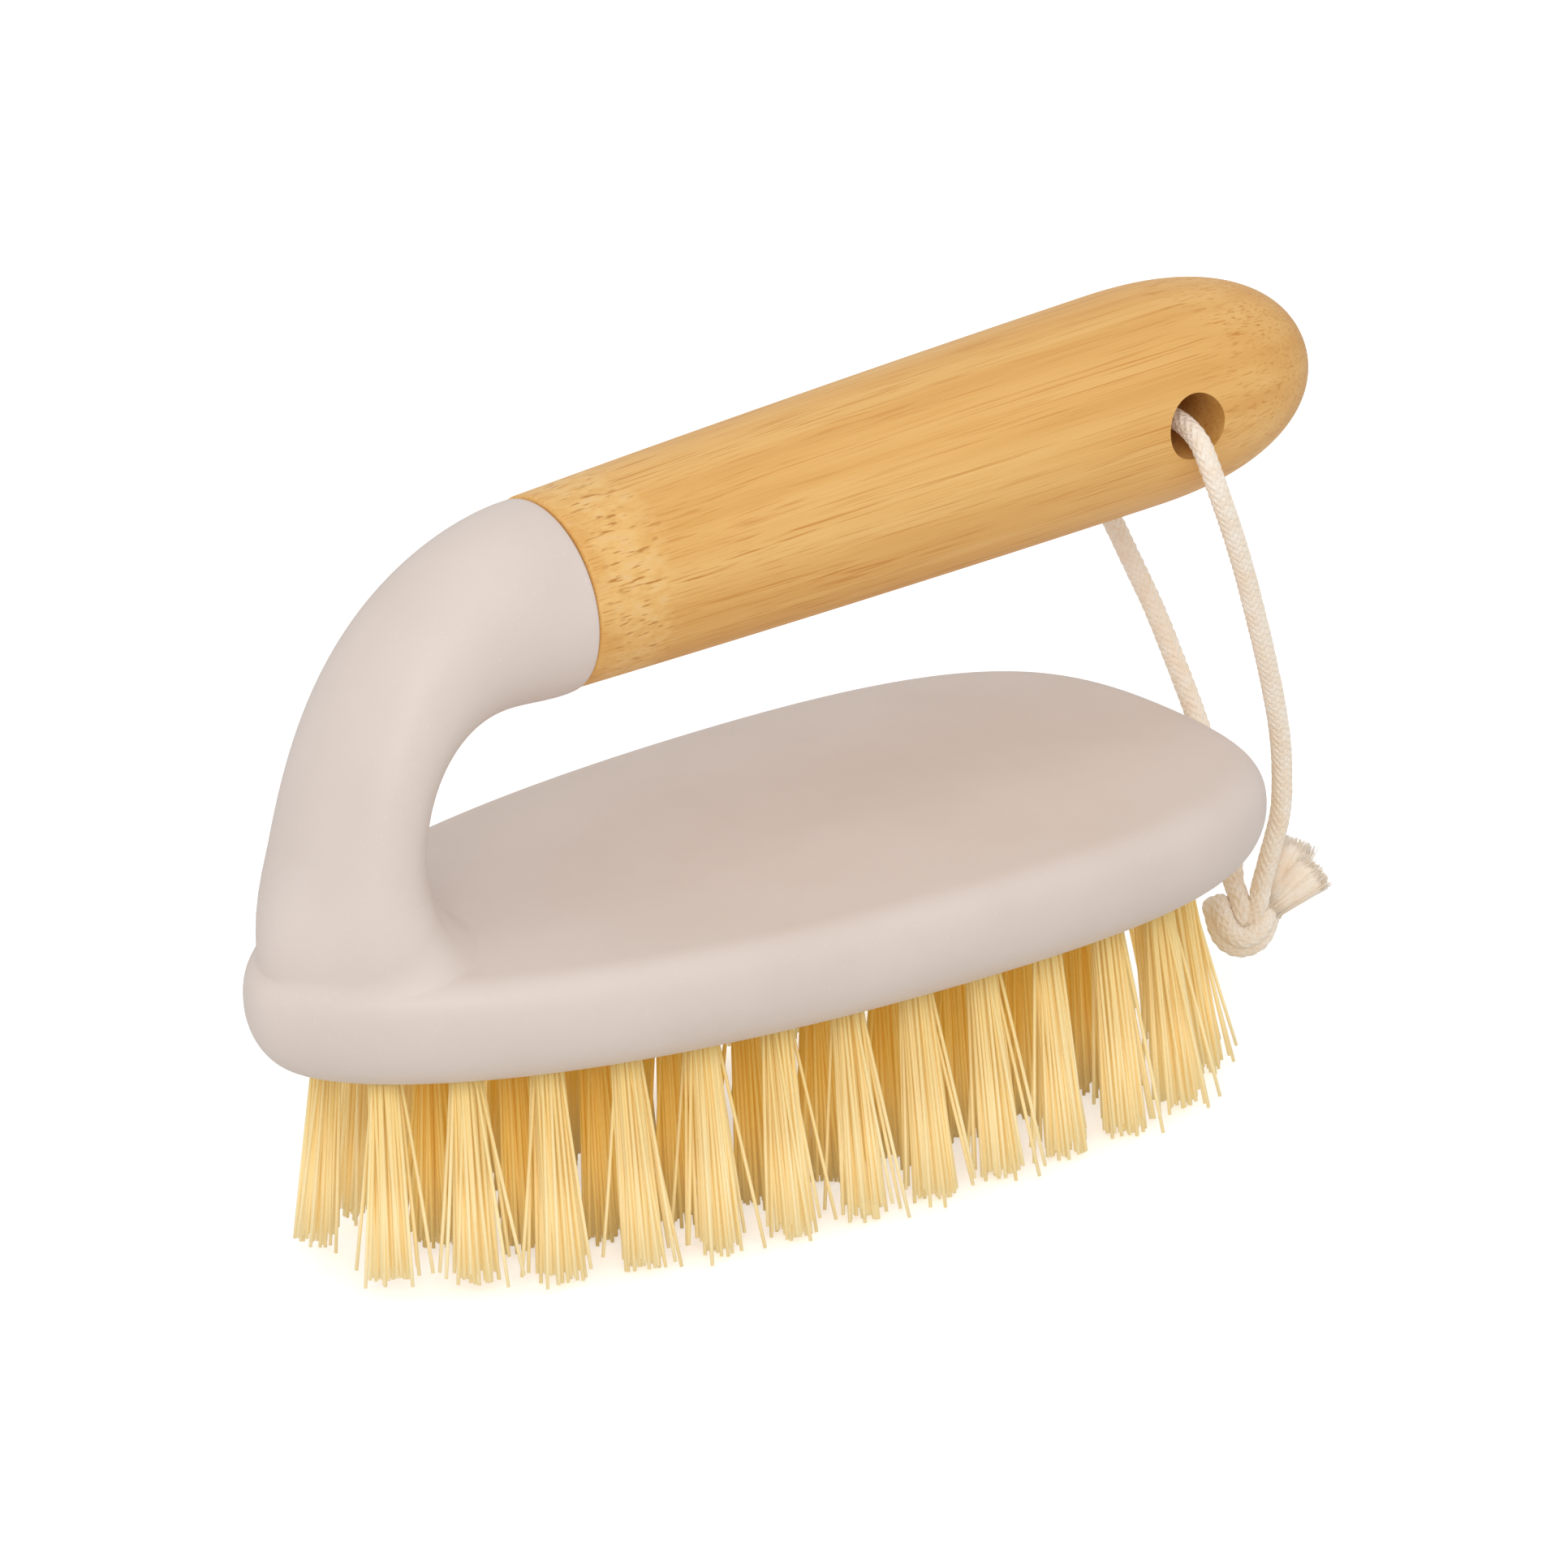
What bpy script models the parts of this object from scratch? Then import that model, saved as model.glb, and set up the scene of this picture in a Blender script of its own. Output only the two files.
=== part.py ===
"""A hand scrub brush: a moulded head, a bamboo grip on a tenon, bristle tufts and a cord loop.

The head is one moulding, an oval plate with an arm that rises from its narrow end and bends
over. The grip is turned bamboo, fixed by its tenon in the arm's socket. The tufts stand in
blind holes in the plate's underside and fan outwards. The cord runs through a cross hole in
the grip, and its two ends are tied together under it.

Sizes are millimetres. +X runs from the arm towards the grip's free end, and +Z is up. The
origin is on the floor, under the middle of the brush, and the bristles stand on the floor.
"""

import math

import bmesh
import bpy
import numpy as np

MM = 0.001

# Overall
OVERALL_LENGTH = 145.0
CLEARANCE = 0.3

# Plate
PLATE_LENGTH = 128.7
PLATE_WIDTH = 65.0
WALL_HEIGHT = 8.9
WALL_UNDERCUT = 7.8
RIM_RADIUS = 5.0
CROWN_HEIGHT = 1.0
CROWN_FLAT = 3.0
WIDEST_SHARE = 0.66
TIP_SWEEP = 0.75
END_SWEEP = 0.89
PLATE_FULLNESS = (0.28, 0.64)

# Bristles
BRISTLE_LENGTH = 25.8
HOLE_DIAMETER = 4.4
HOLE_DEPTH = 6.0
ROOT_LENGTH = 5.6
STRAND_WIDTH = 0.8
STRAND_SPREAD = 1.38
TIP_UNEVENNESS = 1.6
FLOOR_CUT = 0.5
NARROW_END_TRIM = 2.2
TRIM_REACH = 25.0
INNER_STRANDS = 3
OUTER_STRANDS = 6
INNER_RADIUS = 0.62
OUTER_RADIUS = 1.4

# Rows of tufts. Insets from the plate's outline are at its tip, at its end and at its sides.
OUTER_TUFTS = 28
OUTER_INSETS = (8.0, 10.2, 10.6)
OUTER_FULLNESS = (0.14, 0.82)
OUTER_LEAN = 2.9
OUTER_TIP_GAP = 14.4
INNER_TUFTS = 21
INNER_INSETS = (22.7, 16.9, 20.6)
INNER_FULLNESS = (0.43, 0.9)
INNER_LEAN = 1.2
CENTRE_TUFTS = 7
CENTRE_INSETS = (34.5, 28.0)

# Grip
HAND_GAP = 22.2
GRIP_LENGTH = 104.8
GRIP_TILT = 2.48
GRIP_DEPTH_AT_JOINT = 22.3
GRIP_DEPTH_AT_MIDDLE = 24.1
GRIP_DEPTH_AT_END = 25.0
GRIP_WIDTH_AT_JOINT = 22.3
GRIP_WIDTH_AT_END = 26.2
GRIP_CAP_LENGTH = 24.1
GRIP_CAP_FULLNESS = 2.29
GRIP_EDGE_RADIUS = 0.5
TENON_DIAMETER = 12.0
TENON_LENGTH = 12.0
TENON_CHAMFER = 1.0
CORD_HOLE_DIAMETER = 7.8
CORD_HOLE_FROM_END = 23.3

# Arm
FOOT_SETBACK = 12.7
FOOT_FILLET = 1.4
FOOT_SINK = 0.25
FOOT_SQUARENESS = 2.3
FOOT_TAPER = 0.8
RIM_MARGIN = 0.4
ARM_LEAN = -4.2
ARM_RISE = 15.3
ARM_CORNER_OFFSET = 3.9
ARM_RUN_OUT = 6.2
ARM_END_DROP = 0.25
ARM_LIP_RADIUS = 0.8
ARM_DEPTHS = (19.2, 13.2, 19.1, 22.3)
ARM_WIDTHS = (23.6, 20.2, 22.5)

# Cord
CORD_DIAMETER = 2.5
KNOT_WIDTH = 6.2
KNOT_HEIGHT = 7.6
KNOT_OFFSET = (-0.9, 0.0, -0.4)
KNOT_BOTTOM_ANGLE = 78.0
KNOT_TOP_ANGLE = 62.0
WRAP_RADIUS = 2.7
WRAP_THICKNESS = 3.2
WRAP_START = 120.0
WRAP_END = 400.0
WRAP_TURN = 35.0
CORD_END_START = (0.8, 1.0, 0.2)
CORD_END_LENGTH = 11.0
CORD_END_WIDTH = 2.9
CORD_END_FLARE = 1.4
CORD_END_RISE = 0.62
CORD_END_SPLAY = 0.16

# Route of the cord, from the middle of the cross hole. It starts above the knot on the near
# side, rises outside the plate, goes through the hole and comes down on the far side.
CORD_ROUTE = (
    (16.1, -1.7, -63.7),
    (17.1, -2.3, -59.5),
    (17.9, -3.4, -54.2),
    (17.2, -4.8, -48.4),
    (15.7, -6.4, -42.6),
    (13.6, -8.0, -36.6),
    (11.1, -9.8, -30.5),
    (8.5, -11.5, -24.4),
    (5.9, -13.1, -18.4),
    (3.4, -14.4, -12.9),
    (1.5, -15.1, -8.6),
    (0.4, -14.8, -5.0),
    (0.1, -13.2, -1.9),
    (0.0, -10.6, -0.4),
    (0.0, -7.0, 0.0),
    (0.0, 0.0, 0.0),
    (0.0, 7.0, 0.0),
    (0.0, 10.6, -0.4),
    (0.2, 13.2, -1.9),
    (0.7, 14.8, -5.0),
    (2.2, 15.2, -9.0),
    (4.5, 14.9, -13.8),
    (7.3, 14.1, -19.3),
    (9.7, 13.0, -25.6),
    (11.6, 11.4, -31.6),
    (13.0, 9.7, -37.6),
    (14.2, 8.0, -43.4),
    (15.1, 6.1, -49.4),
    (15.5, 4.2, -55.2),
    (15.2, 2.6, -59.9),
    (14.8, 1.8, -63.7),
)

# Mesh density
SHARP_ANGLE = 35.0
OUTLINE_STEPS = 14
ARM_SIDES = 32
ARM_RINGS = 16
FILLET_RINGS = 4
FOOT_STEPS = 13
FOOT_REACH = 0.12
LIP_RINGS = 4
WALL_RINGS = 5
RIM_RINGS = 5
CROWN_RINGS = 3
GRIP_SIDES = 32
GRIP_RINGS = 9
EDGE_RINGS = 4
CAP_RINGS = 9
BORE_SIDES = 24
RING_STEPS = 40
HOLE_SIDES = 8
CORD_STEPS_PER_SPAN = 2
KNOT_SIDES = 14
KNOT_RINGS = 8
WRAP_STEPS = 16
CORD_END_STEPS = 5
LOOSE_CORD_SIDES = 10

# Places worked out from the sizes
PLATE_TIP = -OVERALL_LENGTH / 2
PLATE_END = PLATE_TIP + PLATE_LENGTH
RIM_BASE = BRISTLE_LENGTH + WALL_HEIGHT
RIM_TOP = RIM_BASE + RIM_RADIUS
PLATE_TOP = RIM_TOP + CROWN_HEIGHT
TILT = math.radians(GRIP_TILT)
GRIP_AXIS = np.array([math.cos(TILT), 0.0, math.sin(TILT)])
GRIP_UP = np.array([-math.sin(TILT), 0.0, math.cos(TILT)])
JOINT = np.array(
    [
        OVERALL_LENGTH / 2 - GRIP_LENGTH * math.cos(TILT),
        0.0,
        PLATE_TOP + HAND_GAP + GRIP_DEPTH_AT_JOINT / 2,
    ]
)
PIVOT = JOINT + GRIP_AXIS * (GRIP_LENGTH - CORD_HOLE_FROM_END)


def clear_scene():
    """Remove every object that the scene starts with."""
    for thing in list(bpy.data.objects):
        bpy.data.objects.remove(thing)


def finish_material(name, colour, roughness, metallic=0.0):
    """A Principled material; colour is sRGB, 0 to 255."""
    material = bpy.data.materials.new(name)
    material.use_nodes = True
    shader = material.node_tree.nodes["Principled BSDF"]
    linear = [((part / 255 + 0.055) / 1.055) ** 2.4 for part in colour]
    shader.inputs["Base Color"].default_value = (*linear, 1.0)
    shader.inputs["Roughness"].default_value = roughness
    shader.inputs["Metallic"].default_value = metallic
    material.diffuse_color = (*linear, 1.0)
    return material


def add_object(name, shape, material, origin=(0.0, 0.0, 0.0)):
    """Link a bmesh, given in millimetres from origin, as an object that stands at origin."""
    bmesh.ops.scale(shape, vec=(MM, MM, MM), verts=shape.verts)
    bmesh.ops.recalc_face_normals(shape, faces=shape.faces)
    mesh = bpy.data.meshes.new(name)
    shape.to_mesh(mesh)
    shape.free()
    thing = bpy.data.objects.new(name, mesh)
    thing.location = [float(part) * MM for part in origin]
    bpy.context.scene.collection.objects.link(thing)
    if material is not None:
        mesh.materials.append(material)
    mesh.shade_smooth()
    mesh.set_sharp_from_angle(angle=math.radians(SHARP_ANGLE))
    return thing


def make_helper(thing):
    """Hide a cutter or another helper, which is no part of the brush."""
    thing.hide_render = True
    thing.display_type = "WIRE"
    thing.hide_set(True)
    return thing


def add_boolean(thing, operation, other):
    """Join other to thing, or cut it out of thing."""
    modifier = thing.modifiers.new(operation.lower() + "_" + other.name, "BOOLEAN")
    modifier.operation = operation
    modifier.object = other


def skin(shape, rings, close_first=True, close_last=True):
    """Cover a row of closed rings with quads, and close its two ends with flat faces."""
    loops = [[shape.verts.new([float(c) for c in point]) for point in ring] for ring in rings]
    for low, high in zip(loops, loops[1:]):
        for k in range(len(low)):
            after = (k + 1) % len(low)
            shape.faces.new((low[k], low[after], high[after], high[k]))
    if close_first:
        shape.faces.new(loops[0])
    if close_last:
        shape.faces.new(loops[-1])
    return loops


def edges_within(loop):
    """The edges of a closed ring of vertices."""
    return [edge for edge in {e for v in loop for e in v.link_edges} if set(edge.verts) <= set(loop)]


def circle(radius, sides, turn=0.0):
    """Points of a regular polygon as an array of (x, y)."""
    angles = np.linspace(0, 2 * math.pi, sides, endpoint=False) + turn
    return radius * np.column_stack([np.cos(angles), np.sin(angles)])


def bezier(controls, t):
    """Points of a Bezier curve with any number of control points."""
    points = [np.outer(np.ones(len(t)), control) for control in controls]
    share = np.asarray(t)[:, None]
    while len(points) > 1:
        points = [a * (1 - share) + b * share for a, b in zip(points, points[1:])]
    return points[0]


def oval(insets, fullness, steps=OUTLINE_STEPS):
    """The plate's egg shape, drawn in by insets, as points anticlockwise from its blunt end."""
    left = PLATE_TIP + insets[0]
    right = PLATE_END - insets[1]
    half_width = PLATE_WIDTH / 2 - insets[2]
    widest = left + (right - left) * WIDEST_SHARE
    t = np.linspace(0, 1, steps + 1)
    end = (right, 0.0)
    side = (widest, half_width)
    tip = (left, 0.0)
    end_handle = (right, fullness[1] * half_width)
    end_side = (widest + END_SWEEP * (right - widest), half_width)
    tip_side = (widest - TIP_SWEEP * (widest - left), half_width)
    tip_handle = (left, fullness[0] * half_width)
    upper = np.vstack(
        [
            bezier((end, end_handle, end_side, side), t)[:-1],
            bezier((side, tip_side, tip_handle, tip), t),
        ]
    )
    lower = upper[-2:0:-1] * (1, -1)
    return np.vstack([upper, lower])


def plate_outline(inset):
    """The plate's outline, drawn in by inset on every side."""
    return oval((inset, inset, inset), PLATE_FULLNESS)


def crown_inset():
    """The inset at which the plate's crowned top turns flat."""
    return PLATE_WIDTH / 2 - CROWN_FLAT


def top_height(inset):
    """Height of the plate's top at an inset from its rim: a rounded rim, then a low crown."""
    if inset < RIM_RADIUS:
        return RIM_BASE + math.sqrt(RIM_RADIUS**2 - (RIM_RADIUS - max(inset, 0.0)) ** 2)
    share = min((inset - RIM_RADIUS) / (crown_inset() - RIM_RADIUS), 1.0)
    return RIM_TOP + CROWN_HEIGHT * (1 - (1 - share) ** 2)


def inset_at(x, y):
    """How far a point lies inside the plate's outline, found by halving the range."""
    low, high = 0.0, crown_inset()
    for _ in range(16):
        inset = (low + high) / 2
        outline = plate_outline(inset)[: 2 * OUTLINE_STEPS + 1]
        inside = outline[-1, 0] < x < outline[0, 0]
        if inside and abs(y) < np.interp(x, outline[::-1, 0], outline[::-1, 1]):
            low = inset
        else:
            high = inset
    return (low + high) / 2


def plate_rings():
    """Rings of the plate from its underside up to its top."""
    levels = []
    for turn in np.linspace(0, math.pi / 2, WALL_RINGS + 1)[:-1]:
        drop = 1 - math.cos(turn)
        levels.append((WALL_UNDERCUT * (1 - math.sin(turn)), BRISTLE_LENGTH + WALL_HEIGHT * drop))
    for turn in np.linspace(0, math.pi / 2, RIM_RINGS + 1):
        inset = RIM_RADIUS * (1 - math.cos(turn))
        levels.append((inset, top_height(inset)))
    for share in np.linspace(0, 1, CROWN_RINGS + 1)[1:]:
        inset = RIM_RADIUS + share * (crown_inset() - RIM_RADIUS)
        levels.append((inset, top_height(inset)))
    return [
        np.column_stack([plate_outline(inset), np.full(4 * OUTLINE_STEPS, height)])
        for inset, height in levels
    ]


def through(values, t):
    """The polynomial that passes through evenly spaced values, at t from 0 to 1."""
    stations = np.linspace(0, 1, len(values))
    total = np.zeros(len(t))
    for k, value in enumerate(values):
        others = np.delete(stations, k)
        total += value * np.prod([(t - s) / (stations[k] - s) for s in others], axis=0)
    return total


def arm_centre(t):
    """Points along the arm's centreline, from the foot to the joint with the grip."""
    lean = math.radians(ARM_LEAN)
    foot = np.array([PLATE_TIP + FOOT_SETBACK, 0.0, PLATE_TOP])
    end = JOINT - GRIP_UP * ARM_END_DROP - GRIP_AXIS * CLEARANCE / 2
    rise = foot + ARM_RISE * np.array([math.sin(lean), 0.0, math.cos(lean)])
    corner = np.array([foot[0] + ARM_CORNER_OFFSET, 0.0, JOINT[2]])
    return bezier((foot, rise, corner, end - GRIP_AXIS * ARM_RUN_OUT, end), t)


def arm_section(centre, along, half_depth, half_width, squareness):
    """One oval section of the arm, square to the direction along."""
    angles = np.linspace(0, 2 * math.pi, ARM_SIDES, endpoint=False)
    power = 2 / squareness
    deep = half_depth * np.sign(np.cos(angles)) * np.abs(np.cos(angles)) ** power
    wide = half_width * np.sign(np.sin(angles)) * np.abs(np.sin(angles)) ** power
    across = np.array([along[2], 0.0, -along[0]])
    return centre + np.outer(deep, across) + np.outer(wide, (0, 1, 0))


def arm_sections(t):
    """Sections of the arm at t; those below 0 go straight on down into the plate."""
    centres = arm_centre(t)
    ahead = arm_centre(t + 1e-3) - arm_centre(t - 1e-3)
    along = ahead / np.linalg.norm(ahead, axis=1)[:, None]
    along[t >= 1] = GRIP_AXIS
    kept = np.clip(t, 0, 1)
    half_depths = through(ARM_DEPTHS, kept) / 2
    half_widths = through(ARM_WIDTHS, kept) / 2
    squareness = 2 + (FOOT_SQUARENESS - 2) * (1 - kept) ** 2
    rows = zip(centres, along, half_depths, half_widths, squareness)
    return [arm_section(*values) for values in rows]


def point_at_rise(column, rise):
    """The point at which a line up the arm's surface stands at a rise over the plate."""
    rises = [point[2] - top_height(inset_at(point[0], point[1])) for point in column]
    for k in range(len(column) - 1):
        if rises[k] <= rise < rises[k + 1]:
            share = (rise - rises[k]) / (rises[k + 1] - rises[k])
            return column[k] + (column[k + 1] - column[k]) * share
    return column[0]


def outward_directions(ring):
    """Level directions that point out of a ring which runs round the arm."""
    after = np.roll(ring, -1, axis=0) - np.roll(ring, 1, axis=0)
    outward = np.column_stack([after[:, 1], -after[:, 0]])
    outward /= np.linalg.norm(outward, axis=1)[:, None]
    if (outward * (ring - ring.mean(axis=0))[:, :2]).sum() < 0:
        outward = -outward
    return outward


def foot_rings():
    """Rings of the arm's foot, from inside the plate through a fillet up to the arm."""
    columns = np.swapaxes(arm_sections(np.linspace(-FOOT_REACH, FOOT_REACH, FOOT_STEPS)), 0, 1)
    foot = np.array([point_at_rise(column, 0.0) for column in columns])
    top = np.array([point_at_rise(column, FOOT_FILLET) for column in columns])
    edge = []
    for point, outward in zip(foot, outward_directions(foot)):
        spread = min(FOOT_FILLET, RIM_MARGIN * inset_at(point[0], point[1]))
        x, y = point[:2] + outward * spread
        edge.append((x, y, top_height(inset_at(x, y)) - FOOT_SINK))
    edge = np.array(edge)
    rings = []
    for share in np.linspace(0, 1, FILLET_RINGS + 1):
        low = edge + (foot - edge) * share
        high = foot + (top - foot) * share
        rings.append(low + (high - low) * share)
    middle = foot.mean(axis=0)
    buried = middle + (edge - middle) * FOOT_TAPER - (0, 0, WALL_HEIGHT / 3)
    return [buried] + rings


def arm_rings():
    """Rings of the arm from inside the plate to the lip that meets the grip."""
    rings = foot_rings()
    clear = rings[-1][:, 2] + FOOT_FILLET / 2
    sections = arm_sections(np.linspace(0, 1, ARM_RINGS + 1))
    rings += [ring for ring in sections if (ring[:, 2] > clear).all()]
    end = rings.pop()
    middle = end.mean(axis=0)
    for turn in np.linspace(0, math.pi / 2, LIP_RINGS):
        back = GRIP_AXIS * ARM_LIP_RADIUS * (1 - math.sin(turn))
        share = 1 - ARM_LIP_RADIUS * (1 - math.cos(turn)) / (GRIP_DEPTH_AT_JOINT / 2)
        rings.append(middle + (end - middle) * share - back)
    return rings


def lathe_along_grip(profile, sides):
    """Round rings along the grip's axis, from rows of (distance from the joint, radius)."""
    rings = []
    for distance, radius in profile:
        disc = circle(radius, sides)
        centre = JOINT + GRIP_AXIS * distance
        rings.append(centre + np.outer(disc[:, 0], GRIP_UP) + np.outer(disc[:, 1], (0, 1, 0)))
    return rings


def points_along(outline, distances):
    """Points at distances along a closed outline, with the outward direction at each."""
    closed = np.vstack([outline, outline[:1]])
    steps = np.diff(closed, axis=0)
    lengths = np.linalg.norm(steps, axis=1)
    marks = np.concatenate([[0], np.cumsum(lengths)])
    found = []
    for distance in distances:
        k = min(int(np.searchsorted(marks, distance, side="right")) - 1, len(steps) - 1)
        point = closed[k] + steps[k] * (distance - marks[k]) / lengths[k]
        found.append((point, np.array([steps[k][1], -steps[k][0]]) / lengths[k]))
    return found


def tuft_ring(count, insets, fullness, lean, tip_gap):
    """Places of a ring of tufts as (root, shift of the tips), the same on both sides.

    tip_gap is the gap between the two tufts nearest the tip. At 0 one tuft stands there.
    """
    outline = oval(insets, fullness, RING_STEPS)
    steps = np.diff(np.vstack([outline, outline[:1]]), axis=0)
    half = np.linalg.norm(steps, axis=1).sum() / 2
    pairs = count // 2
    first = tip_gap / 2 if tip_gap else half / (pairs + 0.5)
    pitch = (half - first) / (pairs - 0.5)
    side = [first + k * pitch for k in range(pairs)]
    distances = [half - d for d in side] + [half + d for d in side]
    if not tip_gap:
        distances.append(half)
    return [(point, outward * lean) for point, outward in points_along(outline, sorted(distances))]


def tuft_places():
    """Where every tuft stands, row by row, from the outside in."""
    left = PLATE_TIP + CENTRE_INSETS[0]
    right = PLATE_END - CENTRE_INSETS[1]
    upright = np.zeros(2)
    return {
        "outer": tuft_ring(OUTER_TUFTS, OUTER_INSETS, OUTER_FULLNESS, OUTER_LEAN, OUTER_TIP_GAP),
        "inner": tuft_ring(INNER_TUFTS, INNER_INSETS, INNER_FULLNESS, INNER_LEAN, 0.0),
        "centre": [(np.array([x, 0.0]), upright) for x in np.linspace(left, right, CENTRE_TUFTS)],
    }


def slanted_post(shape, place, radius, low, high):
    """A post in or under the plate that leans as its tuft does, between two heights."""
    point, shift = place
    rings = []
    for height in (low, high):
        slide = shift * (BRISTLE_LENGTH - height) / BRISTLE_LENGTH
        disc = circle(radius, HOLE_SIDES, math.pi / HOLE_SIDES) + point + slide
        rings.append(np.column_stack([disc, np.full(HOLE_SIDES, height)]))
    return skin(shape, rings, close_first=False)


def weight_normals(thing):
    """Shade a cut piece by its large faces, so that the cut's slivers don't show."""
    modifier = thing.modifiers.new("weighted_normals", "WEIGHTED_NORMAL")
    modifier.keep_sharp = True


def add_head(material, places):
    """The moulded head: plate and arm in one, with the socket and the tuft holes."""
    plate = bmesh.new()
    skin(plate, plate_rings())
    head = add_object("head", plate, material)

    arm = bmesh.new()
    skin(arm, arm_rings())
    add_boolean(head, "UNION", make_helper(add_object("arm_form", arm, None)))

    socket = bmesh.new()
    radius = TENON_DIAMETER / 2 + CLEARANCE
    depth = TENON_LENGTH + CLEARANCE
    profile = [(-depth, radius), (GRIP_DEPTH_AT_JOINT, radius)]
    skin(socket, lathe_along_grip(profile, BORE_SIDES))
    add_boolean(head, "DIFFERENCE", make_helper(add_object("socket_form", socket, None)))

    drills = bmesh.new()
    for place in places:
        low = BRISTLE_LENGTH - HOLE_DEPTH
        loops = slanted_post(
            drills, place, HOLE_DIAMETER / 2, low, BRISTLE_LENGTH + HOLE_DEPTH
        )
        drills.faces.new(loops[0])
    add_boolean(head, "DIFFERENCE", make_helper(add_object("drill_form", drills, None)))
    weight_normals(head)
    return head


def grip_half_depth(distance):
    """Half the grip's depth at a distance from the joint, before its rounded end."""
    share = min(distance / (GRIP_LENGTH - GRIP_CAP_LENGTH), 1.0)
    depths = (GRIP_DEPTH_AT_JOINT, GRIP_DEPTH_AT_MIDDLE, GRIP_DEPTH_AT_END)
    return float(through(depths, np.array([share]))[0]) / 2


def grip_shape_ratio(distance):
    """The grip's width over its depth at a distance from the joint."""
    share = min(distance / (GRIP_LENGTH - GRIP_CAP_LENGTH), 1.0)
    at_joint = GRIP_WIDTH_AT_JOINT / GRIP_DEPTH_AT_JOINT
    at_end = GRIP_WIDTH_AT_END / GRIP_DEPTH_AT_END
    return at_joint + (at_end - at_joint) * share


def grip_profile():
    """Rows of (distance from the joint, half depth), from the shoulder to the rounded end."""
    rows = []
    for turn in np.linspace(0, math.pi / 2, EDGE_RINGS):
        start = CLEARANCE / 2 + GRIP_EDGE_RADIUS * (1 - math.cos(turn))
        rows.append((start, grip_half_depth(start) - GRIP_EDGE_RADIUS * (1 - math.sin(turn))))
    body = GRIP_LENGTH - GRIP_CAP_LENGTH
    for distance in np.linspace(rows[-1][0], body, GRIP_RINGS + 1)[1:]:
        rows.append((distance, grip_half_depth(distance)))
    for turn in np.linspace(0, math.pi / 2, CAP_RINGS + 1)[1:-1]:
        share = math.sin(turn)
        fall = (1 - share**GRIP_CAP_FULLNESS) ** (1 / GRIP_CAP_FULLNESS)
        rows.append((body + GRIP_CAP_LENGTH * share, grip_half_depth(body) * fall))
    return rows


def add_grip(material):
    """The bamboo grip with its tenon and its cross hole, placed by its origin and its tilt."""
    tenon = TENON_DIAMETER / 2
    rows = [
        (-TENON_LENGTH, tenon - TENON_CHAMFER, 1.0),
        (-TENON_LENGTH + TENON_CHAMFER, tenon, 1.0),
        (CLEARANCE / 2, tenon, 1.0),
    ]
    rows += [(x, radius, grip_shape_ratio(x)) for x, radius in grip_profile()]
    rings = []
    for distance, radius, ratio in rows:
        disc = circle(radius, GRIP_SIDES)
        station = np.full(GRIP_SIDES, distance)
        rings.append(np.column_stack([station, disc[:, 1] * ratio, disc[:, 0]]))
    body = bmesh.new()
    loops = skin(body, rings, close_last=False)
    tip = body.verts.new((GRIP_LENGTH, 0.0, 0.0))
    for k, vertex in enumerate(loops[-1]):
        body.faces.new((vertex, loops[-1][(k + 1) % GRIP_SIDES], tip))
    grip = add_object("bamboo_grip", body, material, JOINT)
    grip.rotation_euler = (0.0, -TILT, 0.0)

    drill = bmesh.new()
    reach = GRIP_WIDTH_AT_END
    disc = circle(CORD_HOLE_DIAMETER / 2, BORE_SIDES) + PIVOT[[0, 2]]
    sides = [np.full(BORE_SIDES, y) for y in (-reach, reach)]
    skin(drill, [np.column_stack([disc[:, 0], side, disc[:, 1]]) for side in sides])
    add_boolean(grip, "DIFFERENCE", make_helper(add_object("cord_hole_form", drill, None)))
    weight_normals(grip)
    return grip


def strand_spots(outer_strands):
    """Places of the strands in a tuft, from its axis, with the turn of each."""
    spots = []
    for k in range(INNER_STRANDS):
        angle = 2 * math.pi * k / INNER_STRANDS
        spots.append((INNER_RADIUS * math.cos(angle), INNER_RADIUS * math.sin(angle), angle))
    for k in range(outer_strands):
        angle = 2 * math.pi * (k + 0.5) / outer_strands
        flat_side_out = angle + math.pi
        spots.append((OUTER_RADIUS * math.cos(angle), OUTER_RADIUS * math.sin(angle), flat_side_out))
    return spots


def tip_height(tuft, strand, x):
    """Height at which a strand ends. The long ones are cut flat at the floor.

    Tufts near the plate's tip are trimmed a little shorter.
    """
    uneven = (tuft * 0.37 + strand * 0.618) % 1.0
    past = (PLATE_TIP + OUTER_INSETS[0] + TRIM_REACH - x) / TRIM_REACH
    trim = NARROW_END_TRIM * min(max(past, 0.0), 1.0)
    return max(0.0, uneven * TIP_UNEVENNESS - FLOOR_CUT) + trim


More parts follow.
